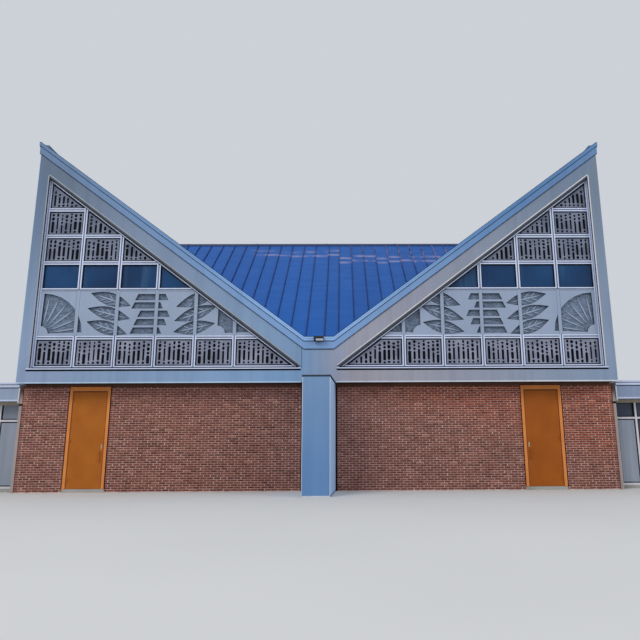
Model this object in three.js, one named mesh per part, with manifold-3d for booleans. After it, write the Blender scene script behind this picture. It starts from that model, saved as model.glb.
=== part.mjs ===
// A modern church with two steep triangular gables that meet at a low valley over a front pier.
// Brick ground storey, grey framed window walls above it, a standing metal roof and a low wing on each side.
// Millimetres, +Z up. The origin is on the ground at the middle of the plan, and the front faces -Y.
import * as THREE from "three";
import { mergeVertices } from "three/addons/utils/BufferGeometryUtils.js";
import Module from "manifold-3d";

const wasm = await Module();
wasm.setup();

// Driving dimensions of the plan
const HALF_WIDTH = 9050;
const HALF_DEPTH = 7300;
const SEAT = 0.3; // clearance left where two sloping or turned faces meet
const FLOOR = 100;

// Brick ground storey
const BRICK = 300;
const BRICK_SETBACK = 540; // from the face of the frame above back to the brick face
const SOFFIT = 3210;

// Grey frame of a gable: the roof line rises from the valley to the outer corner
const FRAME_DEPTH = BRICK_SETBACK + BRICK;
const VALLEY_HALF = 455;
const VALLEY = 4190;
const PEAK = 10630;
const RAKE = (PEAK - VALLEY) / (HALF_WIDTH - VALLEY_HALF);

// Triangular opening of a gable
const OPENING_INNER = 524;
const OPENING_OUTER = 8700;
const SILL = 3600;
const APEX = 9820;

// Window wall: bars, rows and columns
const MODULE = 1219;
const GRID_SETBACK = 150;
const GRID_DEPTH = 60;
const PANEL_DEPTH = 80;
const PANEL_FACE = GRID_SETBACK + GRID_DEPTH;
const BAR = 110;
const BORDER_POST = 150;
const BORDER_SILL = 125;
const BORDER_RAKE = 110;
const COLUMNS = 5;
const FIRST_COLUMN = OPENING_OUTER - MODULE + 3;
const ROW_LINES = [4600, 6110, 6985, 7870, 8760];
const RELIEF_ROW = [4600, 6110];
const GLASS_ROW = [6110, 6985];
const RELIEF_RISE = 50;
const GLASS = 24;

// Side walls of the upper storey
const SIDE_WALL = 300;
const SIDE_COLUMNS = 10;
const SIDE_TOP = 9680;
const SIDE_ROW_LINES = [...ROW_LINES];

// Stepped metal cornice along every roof edge
const CORNICE_BACK = 150;
const CORNICE_LOWER = { rise: 250, proud: 22 };
const CORNICE_UPPER = { rise: 150, proud: 45 };

// Roof
const ROOF_OVER_FRAME = 310;
const ROOF_THICKNESS = ROOF_OVER_FRAME - 0.5;
const RIDGE = 10050;
const RIDGE_CAP = { halfWidth: 170, thickness: 30, endGap: 240 };

// Pier in front of the valley, wider at the wall than at its front
const PIER = { frontHalf: 380, wallHalf: 498, proud: 1600 };
const PIER_CAP = { rise: 40, overhang: 12, reveal: 35, neck: 15 };

// Doors in the brick front, each with one brick course over its frame
const DOOR_CENTRES = { left: 7015, right: 6842 }; // from the middle of the plan
const LINTEL = 70;
const LEAF_WIDTH = 1065;
const LEAF_THICKNESS = 45;
const LEAF_GAP = 8;
const LEAF_TOP = 3000;
const LEAF_SETBACK = 12; // from the front of the door frame back to the leaf
const JAMB = 100;
const STOP = 15;
const DOOR_FRAME_DEPTH = 130;
const DOOR_FRAME_PROUD = 15;
const HINGE = { radius: 8, height: 110, stand: 24, plate: 50, backGap: 5, heights: [350, 1500, 2750] };
const PULL = { height: 1050, length: 300, stand: 55, bar: 22, inset: 95 };

// Low wings
const WING_LENGTH = 5500;
const WING_FASCIA_FRONT = 600; // behind the face of the grey frame
const WING_OVERHANG = 400;
const WING_BACK = 700;
const WING_FRONT = WING_FASCIA_FRONT + WING_OVERHANG - HALF_DEPTH; // the glazing line
const WING_SOFFIT = 2710;
const WING_ROOF = 3200;
const COPING = { top: 3270, height: 145, proud: 30, width: 200 };
const CORNER_SLOT = { width: 175, depth: 250 }; // in the wing roof, for the downspout
const CORNER_PIER = { width: 250, depth: 300 };
const GLAZING = { depth: 80, bar: 60, firstLight: 630, bays: 4, transom: 2105 };
const PASSAGE = { near: -4900, far: -3100, head: 2300 };

// Small fittings
const DOWNSPOUT = { width: 85, depth: 75, off: 15, proud: 20, top: 3190, straps: [400, 1600, 2650] };
const FLOODLIGHT = { width: 290, height: 120, depth: 170, plate: 20, top: 4560 };

const finishes = {
  brick: { color: 0x8a4b3c, roughness: 0.9, metalness: 0 },
  grey: { color: 0x9aa3b0, roughness: 0.6, metalness: 0 },
  bars: { color: 0xb4bccb, roughness: 0.5, metalness: 0 },
  cornice: { color: 0x9fb4d6, roughness: 0.4, metalness: 0.2 },
  roof: { color: 0x2f5ba3, roughness: 0.4, metalness: 0.3 },
  screen: { color: 0x6f7078, roughness: 0.9, metalness: 0 },
  relief: { color: 0xb0b5c0, roughness: 0.8, metalness: 0 },
  glass: { color: 0x24405c, roughness: 0.1, metalness: 0 },
  door: { color: 0xa65a1e, roughness: 0.55, metalness: 0 },
  doorFrame: { color: 0xc9782b, roughness: 0.55, metalness: 0 },
  concrete: { color: 0xa9a8a2, roughness: 0.9, metalness: 0 },
  white: { color: 0xd5d8de, roughness: 0.5, metalness: 0 },
  black: { color: 0x15181c, roughness: 0.4, metalness: 0.4 },
};
const materials = {};
for (const [name, finish] of Object.entries(finishes)) {
  materials[name] = new THREE.MeshStandardMaterial({ name, ...finish });
}

// Geometry helpers

function box(x0, x1, y0, y1, z0, z1) {
  const geometry = new THREE.BoxGeometry(x1 - x0, y1 - y0, z1 - z0);
  return geometry.translate((x0 + x1) / 2, (y0 + y1) / 2, (z0 + z1) / 2);
}

// The same box on the right side of the building for side = 1 and on the left for side = -1
function sideBox(side, near, far, y0, y1, z0, z1) {
  const [x0, x1] = side > 0 ? [near, far] : [-far, -near];
  return box(x0, x1, y0, y1, z0, z1);
}

function extrude(points, depth) {
  const shape = new THREE.Shape(points.map(([a, b]) => new THREE.Vector2(a, b)));
  return new THREE.ExtrudeGeometry(shape, { depth, bevelEnabled: false });
}

// An outline of [x, z] points, standing between y0 and y1
function prismAlongY(points, y0, y1) {
  return extrude(points, y1 - y0).rotateX(Math.PI / 2).translate(0, y1, 0);
}

// An outline of [y, z] points, running between x0 and x1
function prismAlongX(points, x0, x1) {
  const turn = new THREE.Matrix4().set(0, 0, 1, x0, 1, 0, 0, 0, 0, 1, 0, 0, 0, 0, 0, 1);
  return extrude(points, x1 - x0).applyMatrix4(turn);
}

// A plan outline of [x, y] points whose top lies on the plane z = height + alongX * x + alongY * y
function slopingSlab(points, thickness, height, alongX, alongY) {
  const shear = new THREE.Matrix4().set(
    1, 0, 0, 0,
    0, 1, 0, 0,
    alongX, alongY, 1, height - thickness,
    0, 0, 0, 1,
  );
  return extrude(points, thickness).applyMatrix4(shear);
}

function solidOf(geometry) {
  const bare = geometry.clone();
  bare.deleteAttribute("normal");
  bare.deleteAttribute("uv");
  const merged = mergeVertices(bare, 1e-3);
  const vertProperties = merged.attributes.position.array;
  const triVerts = new Uint32Array(merged.index.array);
  return new wasm.Manifold(new wasm.Mesh({ numProp: 3, vertProperties, triVerts }));
}

function geometryOf(solid) {
  const mesh = solid.getMesh();
  const geometry = new THREE.BufferGeometry();
  geometry.setAttribute("position", new THREE.BufferAttribute(mesh.vertProperties, 3));
  geometry.setIndex(new THREE.BufferAttribute(mesh.triVerts, 1));
  const flat = geometry.toNonIndexed();
  flat.computeVertexNormals();
  return flat;
}

const join = (geometries) => geometries.map(solidOf).reduce((whole, next) => whole.add(next));

// An outline with each edge moved inwards; edge i runs from point i to the next one, anticlockwise
function inset(points, distances) {
  const edges = points.map(([x, z], i) => {
    const [nx, nz] = points[(i + 1) % points.length];
    const length = Math.hypot(nx - x, nz - z);
    const along = [(nx - x) / length, (nz - z) / length];
    const d = distances[i];
    return { start: [x - along[1] * d, z + along[0] * d], along };
  });
  return edges.map((edge, i) => {
    const before = edges[(i + edges.length - 1) % edges.length];
    const cross = before.along[0] * edge.along[1] - before.along[1] * edge.along[0];
    const dx = edge.start[0] - before.start[0];
    const dz = edge.start[1] - before.start[1];
    const t = (dx * edge.along[1] - dz * edge.along[0]) / cross;
    return [before.start[0] + before.along[0] * t, before.start[1] + before.along[1] * t];
  });
}

const mirrored = (points, side) => points.map(([x, z]) => [side * x, z]);

// Facades are drawn in their own frame: x along the wall, y inwards from the frame's face, z up
const building = new THREE.Group();
const frontFacade = new THREE.Group();
frontFacade.position.set(0, -HALF_DEPTH, 0);
const backFacade = new THREE.Group();
backFacade.position.set(0, HALF_DEPTH, 0);
backFacade.rotation.z = Math.PI;
const leftFacade = new THREE.Group();
leftFacade.position.set(-HALF_WIDTH, 0, 0);
leftFacade.rotation.z = -Math.PI / 2;
const rightFacade = new THREE.Group();
rightFacade.position.set(HALF_WIDTH, 0, 0);
rightFacade.rotation.z = Math.PI / 2;
building.add(frontFacade, backFacade, leftFacade, rightFacade);

function place(parent, name, shape, material) {
  const geometry = shape.isBufferGeometry ? shape : geometryOf(shape);
  const mesh = new THREE.Mesh(geometry, materials[material]);
  mesh.name = name;
  parent.add(mesh);
}

// Height of the frame's top edge; beyond the corner it runs level
function rakeTop(x) {
  const along = Math.min(Math.max(Math.abs(x), VALLEY_HALF), HALF_WIDTH);
  return VALLEY + RAKE * (along - VALLEY_HALF);
}

// Gables

const OPENING = [
  [OPENING_INNER, SILL],
  [OPENING_OUTER, SILL],
  [OPENING_OUTER, APEX],
];
const GRID_OUTLINE = inset(OPENING, [SEAT, SEAT, SEAT]);
const GRID_INSIDE = inset(OPENING, [BORDER_SILL, BORDER_POST, BORDER_RAKE]);

function columnLines() {
  return Array.from({ length: COLUMNS }, (_, i) => FIRST_COLUMN - i * MODULE);
}

function gableGrid(side) {
  const outline = prismAlongY(mirrored(GRID_OUTLINE, side), GRID_SETBACK, PANEL_FACE);
  const hole = prismAlongY(mirrored(GRID_INSIDE, side), GRID_SETBACK - 1, PANEL_FACE + 1);
  const bars = [];
  for (const x of columnLines()) {
    bars.push(box(side * x - BAR / 2, side * x + BAR / 2, GRID_SETBACK, PANEL_FACE, SILL + 1, APEX));
  }
  for (const z of ROW_LINES) {
    const [low, high] = [z - BAR / 2, z + BAR / 2];
    bars.push(sideBox(side, OPENING_INNER, OPENING_OUTER - 1, GRID_SETBACK, PANEL_FACE, low, high));
  }
  const whole = solidOf(outline);
  return whole.subtract(solidOf(hole)).add(join(bars).intersect(whole));
}

// The part of the opening between two heights, as a slab behind the bars
function gableSlab(side, bottom, top, front, depth) {
  const outline = inset(OPENING, [SEAT, SEAT, SEAT]);
  const slab = solidOf(prismAlongY(mirrored(outline, side), front, front + depth));
  const wide = HALF_WIDTH + 1;
  return slab.intersect(solidOf(box(-wide, wide, 0, FRAME_DEPTH, bottom + SEAT, top - SEAT)));
}

// Raised blocks between the bars, standing out of the relief slab
function reliefBlocks(side) {
  const face = PANEL_FACE - RELIEF_RISE;
  const gap = BAR / 2 + SEAT;
  const edges = [OPENING_OUTER + gap, ...columnLines(), OPENING_INNER - gap];
  const blocks = [];
  for (let i = 0; i + 1 < edges.length; i += 1) {
    const [far, near] = [edges[i] - gap, edges[i + 1] + gap];
    const [low, high] = [RELIEF_ROW[0] + gap, RELIEF_ROW[1] - gap];
    blocks.push(sideBox(side, near, far, face, PANEL_FACE + 1, low, high));
  }
  const within = inset(OPENING, [BORDER_SILL, BORDER_POST + SEAT, BORDER_RAKE + SEAT]);
  return join(blocks).intersect(solidOf(prismAlongY(mirrored(within, side), 0, FRAME_DEPTH)));
}

function gableFrame(name, side) {
  const beam = sideBox(side, OPENING_INNER, HALF_WIDTH, 0, FRAME_DEPTH, SOFFIT, SILL);
  place(frontFacade, `${name}_beam`, beam, "grey");
  const post = [
    [OPENING_OUTER, SILL],
    [HALF_WIDTH, SILL],
    [HALF_WIDTH, PEAK - 1],
    [OPENING_OUTER, APEX - 1],
  ];
  place(frontFacade, `${name}_post`, prismAlongY(mirrored(post, side), 0, FRAME_DEPTH), "grey");
  const rafter = [
    [OPENING_INNER, SILL],
    [OPENING_OUTER, APEX],
    [HALF_WIDTH, PEAK],
    [OPENING_INNER, rakeTop(OPENING_INNER)],
  ];
  place(frontFacade, `${name}_rafter`, prismAlongY(mirrored(rafter, side), 0, FRAME_DEPTH), "grey");
}

function frontGable(name, side) {
  gableFrame(name, side);
  place(frontFacade, `${name}_bars`, gableGrid(side), "bars");
  const low = gableSlab(side, SILL, RELIEF_ROW[0], PANEL_FACE, PANEL_DEPTH);
  place(frontFacade, `${name}_lower_screen`, low, "screen");
  const band = gableSlab(side, RELIEF_ROW[0], RELIEF_ROW[1], PANEL_FACE, PANEL_DEPTH);
  place(frontFacade, `${name}_relief`, band.add(reliefBlocks(side)), "relief");
  const glass = gableSlab(side, GLASS_ROW[0], GLASS_ROW[1], PANEL_FACE + SEAT, GLASS);
  place(frontFacade, `${name}_glass`, glass, "glass");
  const high = gableSlab(side, GLASS_ROW[1], APEX, PANEL_FACE, PANEL_DEPTH);
  place(frontFacade, `${name}_upper_screen`, high, "screen");
}

const CENTRE_OUTLINE = [
  [-OPENING_INNER, SOFFIT],
  [OPENING_INNER, SOFFIT],
  [OPENING_INNER, rakeTop(OPENING_INNER)],
  [VALLEY_HALF, VALLEY],
  [-VALLEY_HALF, VALLEY],
  [-OPENING_INNER, rakeTop(OPENING_INNER)],
];

// The back repeats the front as one framed wall, with its glass row left open for two panes
function backUpperWall() {
  const outline = [
    [-HALF_WIDTH, SOFFIT],
    [HALF_WIDTH, SOFFIT],
    [HALF_WIDTH, PEAK],
    [VALLEY_HALF, VALLEY],
    [-VALLEY_HALF, VALLEY],
    [-HALF_WIDTH, PEAK],
  ];
  let wall = solidOf(prismAlongY(outline, 0, FRAME_DEPTH));
  const wide = HALF_WIDTH + 1;
  const glassBand = box(-wide, wide, PANEL_FACE, FRAME_DEPTH, GLASS_ROW[0] + BAR / 2, GLASS_ROW[1] - BAR / 2);
  for (const side of [-1, 1]) {
    const opening = mirrored(OPENING, side);
    const inside = mirrored(GRID_INSIDE, side);
    wall = wall.subtract(solidOf(prismAlongY(opening, -1, GRID_SETBACK)));
    wall = wall.subtract(solidOf(prismAlongY(opening, PANEL_FACE + PANEL_DEPTH, FRAME_DEPTH + 1)));
    const cells = solidOf(prismAlongY(inside, GRID_SETBACK - 1, PANEL_FACE));
    wall = wall.subtract(cells.subtract(gableGrid(side)));
    const windows = solidOf(prismAlongY(inside, PANEL_FACE - 1, FRAME_DEPTH));
    wall = wall.subtract(windows.intersect(solidOf(glassBand)));
  }
  return wall;
}

function backPane(side) {
  const outline = inset(OPENING, [SEAT, BORDER_POST + SEAT, BORDER_RAKE + SEAT]);
  const pane = solidOf(prismAlongY(mirrored(outline, side), PANEL_FACE + SEAT, PANEL_FACE + SEAT + GLASS));
  const wide = HALF_WIDTH + 1;
  const [low, high] = [GLASS_ROW[0] + BAR / 2 + SEAT, GLASS_ROW[1] - BAR / 2 - SEAT];
  return pane.intersect(solidOf(box(-wide, wide, 0, FRAME_DEPTH, low, high)));
}

// Side walls of the upper storey

const SIDE_HALF_LENGTH = HALF_DEPTH - FRAME_DEPTH - SEAT;
const SIDE_OPENING_HALF = (SIDE_COLUMNS * MODULE) / 2;

function sideUpperWall() {
  const section = [
    [0, SOFFIT],
    [SIDE_WALL, SOFFIT],
    [SIDE_WALL, PEAK - RAKE * SIDE_WALL],
    [0, PEAK],
  ];
  let wall = solidOf(prismAlongX(section, -SIDE_HALF_LENGTH, SIDE_HALF_LENGTH));
  const half = SIDE_OPENING_HALF;
  wall = wall.subtract(solidOf(box(-half, half, -1, GRID_SETBACK, SILL, SIDE_TOP)));
  const inner = half - BORDER_SILL;
  const cells = solidOf(box(-inner, inner, GRID_SETBACK - 1, PANEL_FACE, SILL + BORDER_SILL, SIDE_TOP - BAR));
  const bars = [];
  for (let i = 1; i < SIDE_COLUMNS; i += 1) {
    const x = -half + i * MODULE;
    bars.push(box(x - BAR / 2, x + BAR / 2, GRID_SETBACK, PANEL_FACE, SILL, SIDE_TOP));
  }
  for (const z of SIDE_ROW_LINES) {
    bars.push(box(-half, half, GRID_SETBACK, PANEL_FACE, z - BAR / 2, z + BAR / 2));
  }
  wall = wall.subtract(cells.subtract(join(bars)));
  const [low, high] = [GLASS_ROW[0] + BAR / 2, GLASS_ROW[1] - BAR / 2];
  return wall.subtract(solidOf(box(-inner, inner, PANEL_FACE, SIDE_WALL + 1, low, high)));
}

function sidePane() {
  const inner = SIDE_OPENING_HALF - BORDER_SILL - SEAT;
  const [low, high] = [GLASS_ROW[0] + BAR / 2 + SEAT, GLASS_ROW[1] - BAR / 2 - SEAT];
  return box(-inner, inner, PANEL_FACE + SEAT, PANEL_FACE + SEAT + GLASS, low, high);
}

// Cornices

// One step of the valley-shaped cornice, between two heights above the frame
function valleyStep(from, to, proud) {
  const end = HALF_WIDTH + proud;
  const turns = [-end, -HALF_WIDTH, -VALLEY_HALF, VALLEY_HALF, HALF_WIDTH, end];
  const lower = turns.map((x) => [x, rakeTop(x) + from]);
  const upper = turns.map((x) => [x, rakeTop(x) + to]).reverse();
  return prismAlongY([...lower, ...upper], -proud, CORNICE_BACK);
}

function valleyCornice() {
  const { rise, proud } = CORNICE_LOWER;
  const lower = valleyStep(SEAT, rise, proud);
  const upper = valleyStep(rise, rise + CORNICE_UPPER.rise, CORNICE_UPPER.proud);
  return join([lower, upper]);
}

function sideCornice() {
  const half = HALF_DEPTH - CORNICE_BACK - SEAT;
  const step = PEAK + CORNICE_LOWER.rise;
  const section = [
    [-CORNICE_LOWER.proud, PEAK + SEAT],
    [CORNICE_BACK, PEAK + SEAT],
    [CORNICE_BACK, step + CORNICE_UPPER.rise],
    [-CORNICE_UPPER.proud, step + CORNICE_UPPER.rise],
    [-CORNICE_UPPER.proud, step],
    [-CORNICE_LOWER.proud, step],
  ];
  return prismAlongX(section, -half, half);
}

// Roof: two main slopes rise to the ridge, and two outer slopes rise to the side walls

const ROOF_EDGE_X = HALF_WIDTH - CORNICE_BACK - SEAT;
const ROOF_EDGE_Y = HALF_DEPTH - CORNICE_BACK - SEAT;
const ROOF_VALLEY = VALLEY + ROOF_OVER_FRAME;
const MAIN_SLOPE = (RIDGE - ROOF_VALLEY) / ROOF_EDGE_Y;
const RIDGE_HALF = VALLEY_HALF + (RIDGE - ROOF_VALLEY) / RAKE;

function outerSlope(side) {
  const plan = [
    [side * VALLEY_HALF, -ROOF_EDGE_Y],
    [side * ROOF_EDGE_X, -ROOF_EDGE_Y],
    [side * ROOF_EDGE_X, ROOF_EDGE_Y],
    [side * VALLEY_HALF, ROOF_EDGE_Y],
    [side * RIDGE_HALF, 0],
  ];
  return slopingSlab(plan, ROOF_THICKNESS, ROOF_VALLEY - RAKE * VALLEY_HALF, side * RAKE, 0);
}

function mainSlope(side) {
  const plan = [
    [-VALLEY_HALF + 1, side * ROOF_EDGE_Y],
    [VALLEY_HALF - 1, side * ROOF_EDGE_Y],
    [RIDGE_HALF - 1, side * SEAT],
    [-RIDGE_HALF + 1, side * SEAT],
  ];
  return slopingSlab(plan, ROOF_THICKNESS, RIDGE, 0, -side * MAIN_SLOPE);
}

function ridgeCap() {
  const { halfWidth, thickness, endGap } = RIDGE_CAP;
  const end = RIDGE_HALF - endGap;
  const foot = RIDGE + 0.5 - MAIN_SLOPE * halfWidth;
  const section = [
    [-halfWidth, foot],
    [0, RIDGE + 0.5],
    [halfWidth, foot],
    [halfWidth, foot + thickness],
    [0, RIDGE + 0.5 + thickness],
    [-halfWidth, foot + thickness],
  ];
  return prismAlongX(section, -end, end);
}

// Brick ground storey

const BRICK_FACE = HALF_DEPTH - BRICK_SETBACK;
const BRICK_INSIDE = BRICK_FACE - BRICK;
const DOORWAY_HALF = LEAF_WIDTH / 2 + JAMB;
const DOORWAY_TOP = SOFFIT - LINTEL;

// How far the middle of a door is from the middle of the plan
function doorCentre(side) {
  return side < 0 ? DOOR_CENTRES.left : DOOR_CENTRES.right;
}

function brickFront() {
  const runs = {
    front_left_brick: [-HALF_WIDTH, -doorCentre(-1) - DOORWAY_HALF],
    front_middle_brick: [-doorCentre(-1) + DOORWAY_HALF, doorCentre(1) - DOORWAY_HALF],
    front_right_brick: [doorCentre(1) + DOORWAY_HALF, HALF_WIDTH],
  };
  for (const [name, [x0, x1]] of Object.entries(runs)) {
    place(building, name, box(x0, x1, -BRICK_FACE, -BRICK_INSIDE, 0, SOFFIT), "brick");
  }
}

function doorLintel(side) {
  const [near, far] = [doorCentre(side) - DOORWAY_HALF, doorCentre(side) + DOORWAY_HALF];
  return sideBox(side, near, far, -BRICK_FACE, -BRICK_INSIDE, DOORWAY_TOP, SOFFIT);
}

function sideBrick(side) {
  const inside = HALF_WIDTH - BRICK;
  const wall = sideBox(side, inside, HALF_WIDTH, -BRICK_INSIDE, BRICK_INSIDE, 0, SOFFIT);
  const passage = sideBox(side, inside - 1, HALF_WIDTH + 1, PASSAGE.near, PASSAGE.far, -1, PASSAGE.head);
  const { width, depth } = CORNER_PIER;
  const stub = sideBox(
    side, HALF_WIDTH - 1, HALF_WIDTH + width, WING_FRONT, WING_FRONT + depth, FLOOR, WING_SOFFIT,
  );
  return solidOf(wall).subtract(solidOf(passage)).add(solidOf(stub));
}

// The pier's plan from its front to the line y = back, made larger all round by grow
function pierPlan(back, grow) {
  const { frontHalf, wallHalf, proud } = PIER;
  const splay = (wallHalf - frontHalf) / (BRICK_SETBACK + proud);
  const half = (y) => frontHalf + splay * (y + proud) + grow;
  const front = -proud - grow;
  return [
    [-half(front), front],
    [half(front), front],
    [half(back), back],
    [-half(back), back],
  ];
}

// A pier with a shadow joint under its thin cap
function pier() {
  const { rise, overhang, reveal, neck } = PIER_CAP;
  return join([
    extrude(pierPlan(BRICK_SETBACK, 0), SOFFIT - reveal),
    extrude(pierPlan(BRICK_SETBACK, -neck), SOFFIT),
    extrude(pierPlan(-SEAT, overhang), rise).translate(0, 0, SOFFIT),
  ]);
}

function floorSlab() {
  const inside = HALF_WIDTH - BRICK;
  const wingEnd = HALF_WIDTH + WING_LENGTH - BRICK;
  const parts = [box(-inside, inside, -BRICK_INSIDE, BRICK_INSIDE, 0, FLOOR)];
  for (const side of [-1, 1]) {
    const [near, far] = [doorCentre(side) - DOORWAY_HALF, doorCentre(side) + DOORWAY_HALF];
    parts.push(sideBox(side, near, far, -BRICK_FACE, -BRICK_INSIDE + 1, 0, FLOOR));
    parts.push(sideBox(side, inside - 1, HALF_WIDTH + 1, PASSAGE.near, PASSAGE.far, 0, FLOOR));
    parts.push(sideBox(side, HALF_WIDTH, wingEnd, WING_FRONT, WING_BACK - BRICK, 0, FLOOR));
  }
  return join(parts);
}

// Doors, drawn from the brick face inwards

const LEAF_FACE = LEAF_SETBACK - DOOR_FRAME_PROUD;
const PIN = LEAF_FACE - HINGE.stand;

// The hinge edge of a leaf, on the side away from the pier
function leafEdge(side) {
  return doorCentre(side) + LEAF_WIDTH / 2 - LEAF_GAP;
}

// Half of every hinge: a knuckle on the pin and a plate from there back to its carrier
function hingeHalves(side, low, high, plate, back) {
  return HINGE.heights.flatMap((z) => {
    const knuckle = new THREE.CylinderGeometry(HINGE.radius, HINGE.radius, high - low, 10);
    knuckle.rotateX(Math.PI / 2).translate(side * leafEdge(side), PIN, z + (low + high) / 2);
    const [from, to] = plate.map((reach) => leafEdge(side) + reach);
    return [knuckle, sideBox(side, from, to, PIN - 3, back, z + low + 1, z + high - 1)];
  });
}

function doorFrame(side) {
  const [front, back] = [-DOOR_FRAME_PROUD, DOOR_FRAME_DEPTH];
  const middle = doorCentre(side);
  const surround = (half, y0, y1, z0, z1) => {
    return solidOf(sideBox(side, middle - half, middle + half, y0, y1, z0, z1));
  };
  const half = LEAF_WIDTH / 2;
  const behindLeaf = LEAF_FACE + LEAF_THICKNESS + HINGE.backGap;
  const stop = surround(half + 1, behindLeaf, back, FLOOR, LEAF_TOP + 1)
    .subtract(surround(half - STOP, front, back + 1, FLOOR - 1, LEAF_TOP - STOP));
  const halves = hingeHalves(side, -HINGE.height / 2, 0, [2, HINGE.plate], front + 1);
  return surround(DOORWAY_HALF, front, back, FLOOR, DOORWAY_TOP - SEAT)
    .subtract(surround(half, front - 1, back + 1, FLOOR - 1, LEAF_TOP))
    .add(stop)
    .add(join(halves));
}

function doorLeaf(side) {
  const near = doorCentre(side) - LEAF_WIDTH / 2 + LEAF_GAP;
  const [bottom, top] = [FLOOR + LEAF_GAP, LEAF_TOP - LEAF_GAP];
  const leaf = sideBox(side, near, leafEdge(side), LEAF_FACE, LEAF_FACE + LEAF_THICKNESS, bottom, top);
  const halves = hingeHalves(side, SEAT, HINGE.height / 2, [-HINGE.plate, -2], LEAF_FACE + 1);
  const { height, length, stand, bar, inset: fromEdge } = PULL;
  const pull = (y0, y1, z0, z1) => sideBox(side, near + fromEdge, near + fromEdge + bar, y0, y1, z0, z1);
  const [low, high] = [height - length / 2, height + length / 2];
  const front = LEAF_FACE - stand;
  return join([
    leaf,
    ...halves,
    pull(front, front + bar, low, high),
    pull(front + 1, LEAF_FACE + 1, low, low + bar),
    pull(front + 1, LEAF_FACE + 1, high - bar, high),
  ]);
}

// Wings

const WING_END = HALF_WIDTH + WING_LENGTH;

function wingWalls(side) {
  const plan = [
    [WING_END, WING_FRONT],
    [WING_END, WING_BACK],
    [HALF_WIDTH, WING_BACK],
    [HALF_WIDTH, WING_BACK - BRICK],
    [WING_END - BRICK, WING_BACK - BRICK],
    [WING_END - BRICK, WING_FRONT],
  ];
  return extrude(mirrored(plan, side), WING_SOFFIT);
}

function wingRoof(side) {
  const near = HALF_WIDTH + SEAT;
  const far = WING_END + WING_OVERHANG;
  const back = WING_BACK + WING_OVERHANG;
  const front = WING_FRONT - WING_OVERHANG;
  const { top, height, proud, width } = COPING;
  const deck = sideBox(side, near, far, front, back, WING_SOFFIT, WING_ROOF);
  const coping = sideBox(side, near, far + proud, front - proud, back + proud, top - height, top);
  const well = sideBox(side, near - 1, far - width, front + width, back - width, WING_ROOF, top + 1);
  const slot = sideBox(
    side, near - 1, HALF_WIDTH + CORNER_SLOT.width,
    front - proud - 1, front + CORNER_SLOT.depth, WING_SOFFIT - 1, top + 1,
  );
  return join([deck, coping]).subtract(solidOf(well)).subtract(solidOf(slot));
}

function wingGlazing(side) {
  const { depth, bar, firstLight, bays, transom } = GLAZING;
  const near = HALF_WIDTH + CORNER_PIER.width;
  const [start, end] = [near + SEAT, WING_END - BRICK - SEAT];
  const top = WING_SOFFIT - SEAT;
  const member = (from, to, z0, z1) => sideBox(side, from, to, WING_FRONT, WING_FRONT + depth, z0, z1);
  const members = [
    member(start, start + bar, FLOOR, top),
    member(end - bar, end, FLOOR, top),
    member(start, end, FLOOR, FLOOR + bar),
    member(start, end, transom, transom + bar),
    member(start, end, top - bar, top),
  ];
  const bay = (end - near - firstLight - bar) / bays;
  for (let i = 0; i < bays; i += 1) {
    const x = near + firstLight + i * bay;
    members.push(member(x, x + bar, FLOOR, top));
  }
  return join(members);
}

function wingGlass(side) {
  const { depth, bar } = GLAZING;
  const [near, far] = [HALF_WIDTH + CORNER_PIER.width + bar / 2, WING_END - BRICK - bar / 2];
  const y = WING_FRONT + depth + SEAT;
  return sideBox(side, near, far, y, y + GLASS, FLOOR + bar / 2, WING_SOFFIT - bar / 2);
}

// Small fittings

function downspout(side) {
  const { width, depth, off, proud, top, straps } = DOWNSPOUT;
  const near = HALF_WIDTH + off;
  const front = BRICK_SETBACK - proud;
  const parts = [sideBox(side, near, near + width, front, front + depth, 0, top)];
  for (const z of straps) {
    parts.push(sideBox(side, HALF_WIDTH + SEAT, near + 1, front + depth / 2, front + depth, z, z + 30));
  }
  return join(parts);
}

function floodlight() {
  const { width, height, depth, plate, top } = FLOODLIGHT;
  const wall = -CORNICE_UPPER.proud - SEAT;
  const mount = box(-width / 4, width / 4, wall - plate, wall, top - height, top);
  const housing = [
    [wall - plate + 1, top - height * 0.2],
    [wall - plate + 1, top],
    [wall - depth, top],
    [wall - depth, top - height * 0.55],
    [wall - depth * 0.75, top - height * 1.25],
    [wall - depth * 0.35, top - height * 1.25],
  ];
  return join([mount, prismAlongX(housing, -width / 2, width / 2)]);
}

// Assembly

brickFront();
place(building, "back_brick", box(-HALF_WIDTH, HALF_WIDTH, BRICK_INSIDE, BRICK_FACE, 0, SOFFIT), "brick");
place(building, "floor_slab", floorSlab(), "concrete");
place(frontFacade, "front_pier", pier(), "grey");
place(backFacade, "back_pier", pier(), "grey");

frontGable("front_left", -1);
frontGable("front_right", 1);
place(frontFacade, "front_centre_panel", prismAlongY(CENTRE_OUTLINE, 0, FRAME_DEPTH), "grey");
place(frontFacade, "front_cornice", valleyCornice(), "cornice");
place(frontFacade, "floodlight", floodlight(), "black");

place(backFacade, "back_upper_wall", backUpperWall(), "grey");
place(backFacade, "back_left_glass", backPane(1), "glass");
place(backFacade, "back_right_glass", backPane(-1), "glass");
place(backFacade, "back_cornice", valleyCornice(), "cornice");

const brickFace = new THREE.Group();
brickFace.position.y = BRICK_SETBACK;
frontFacade.add(brickFace);

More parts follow.
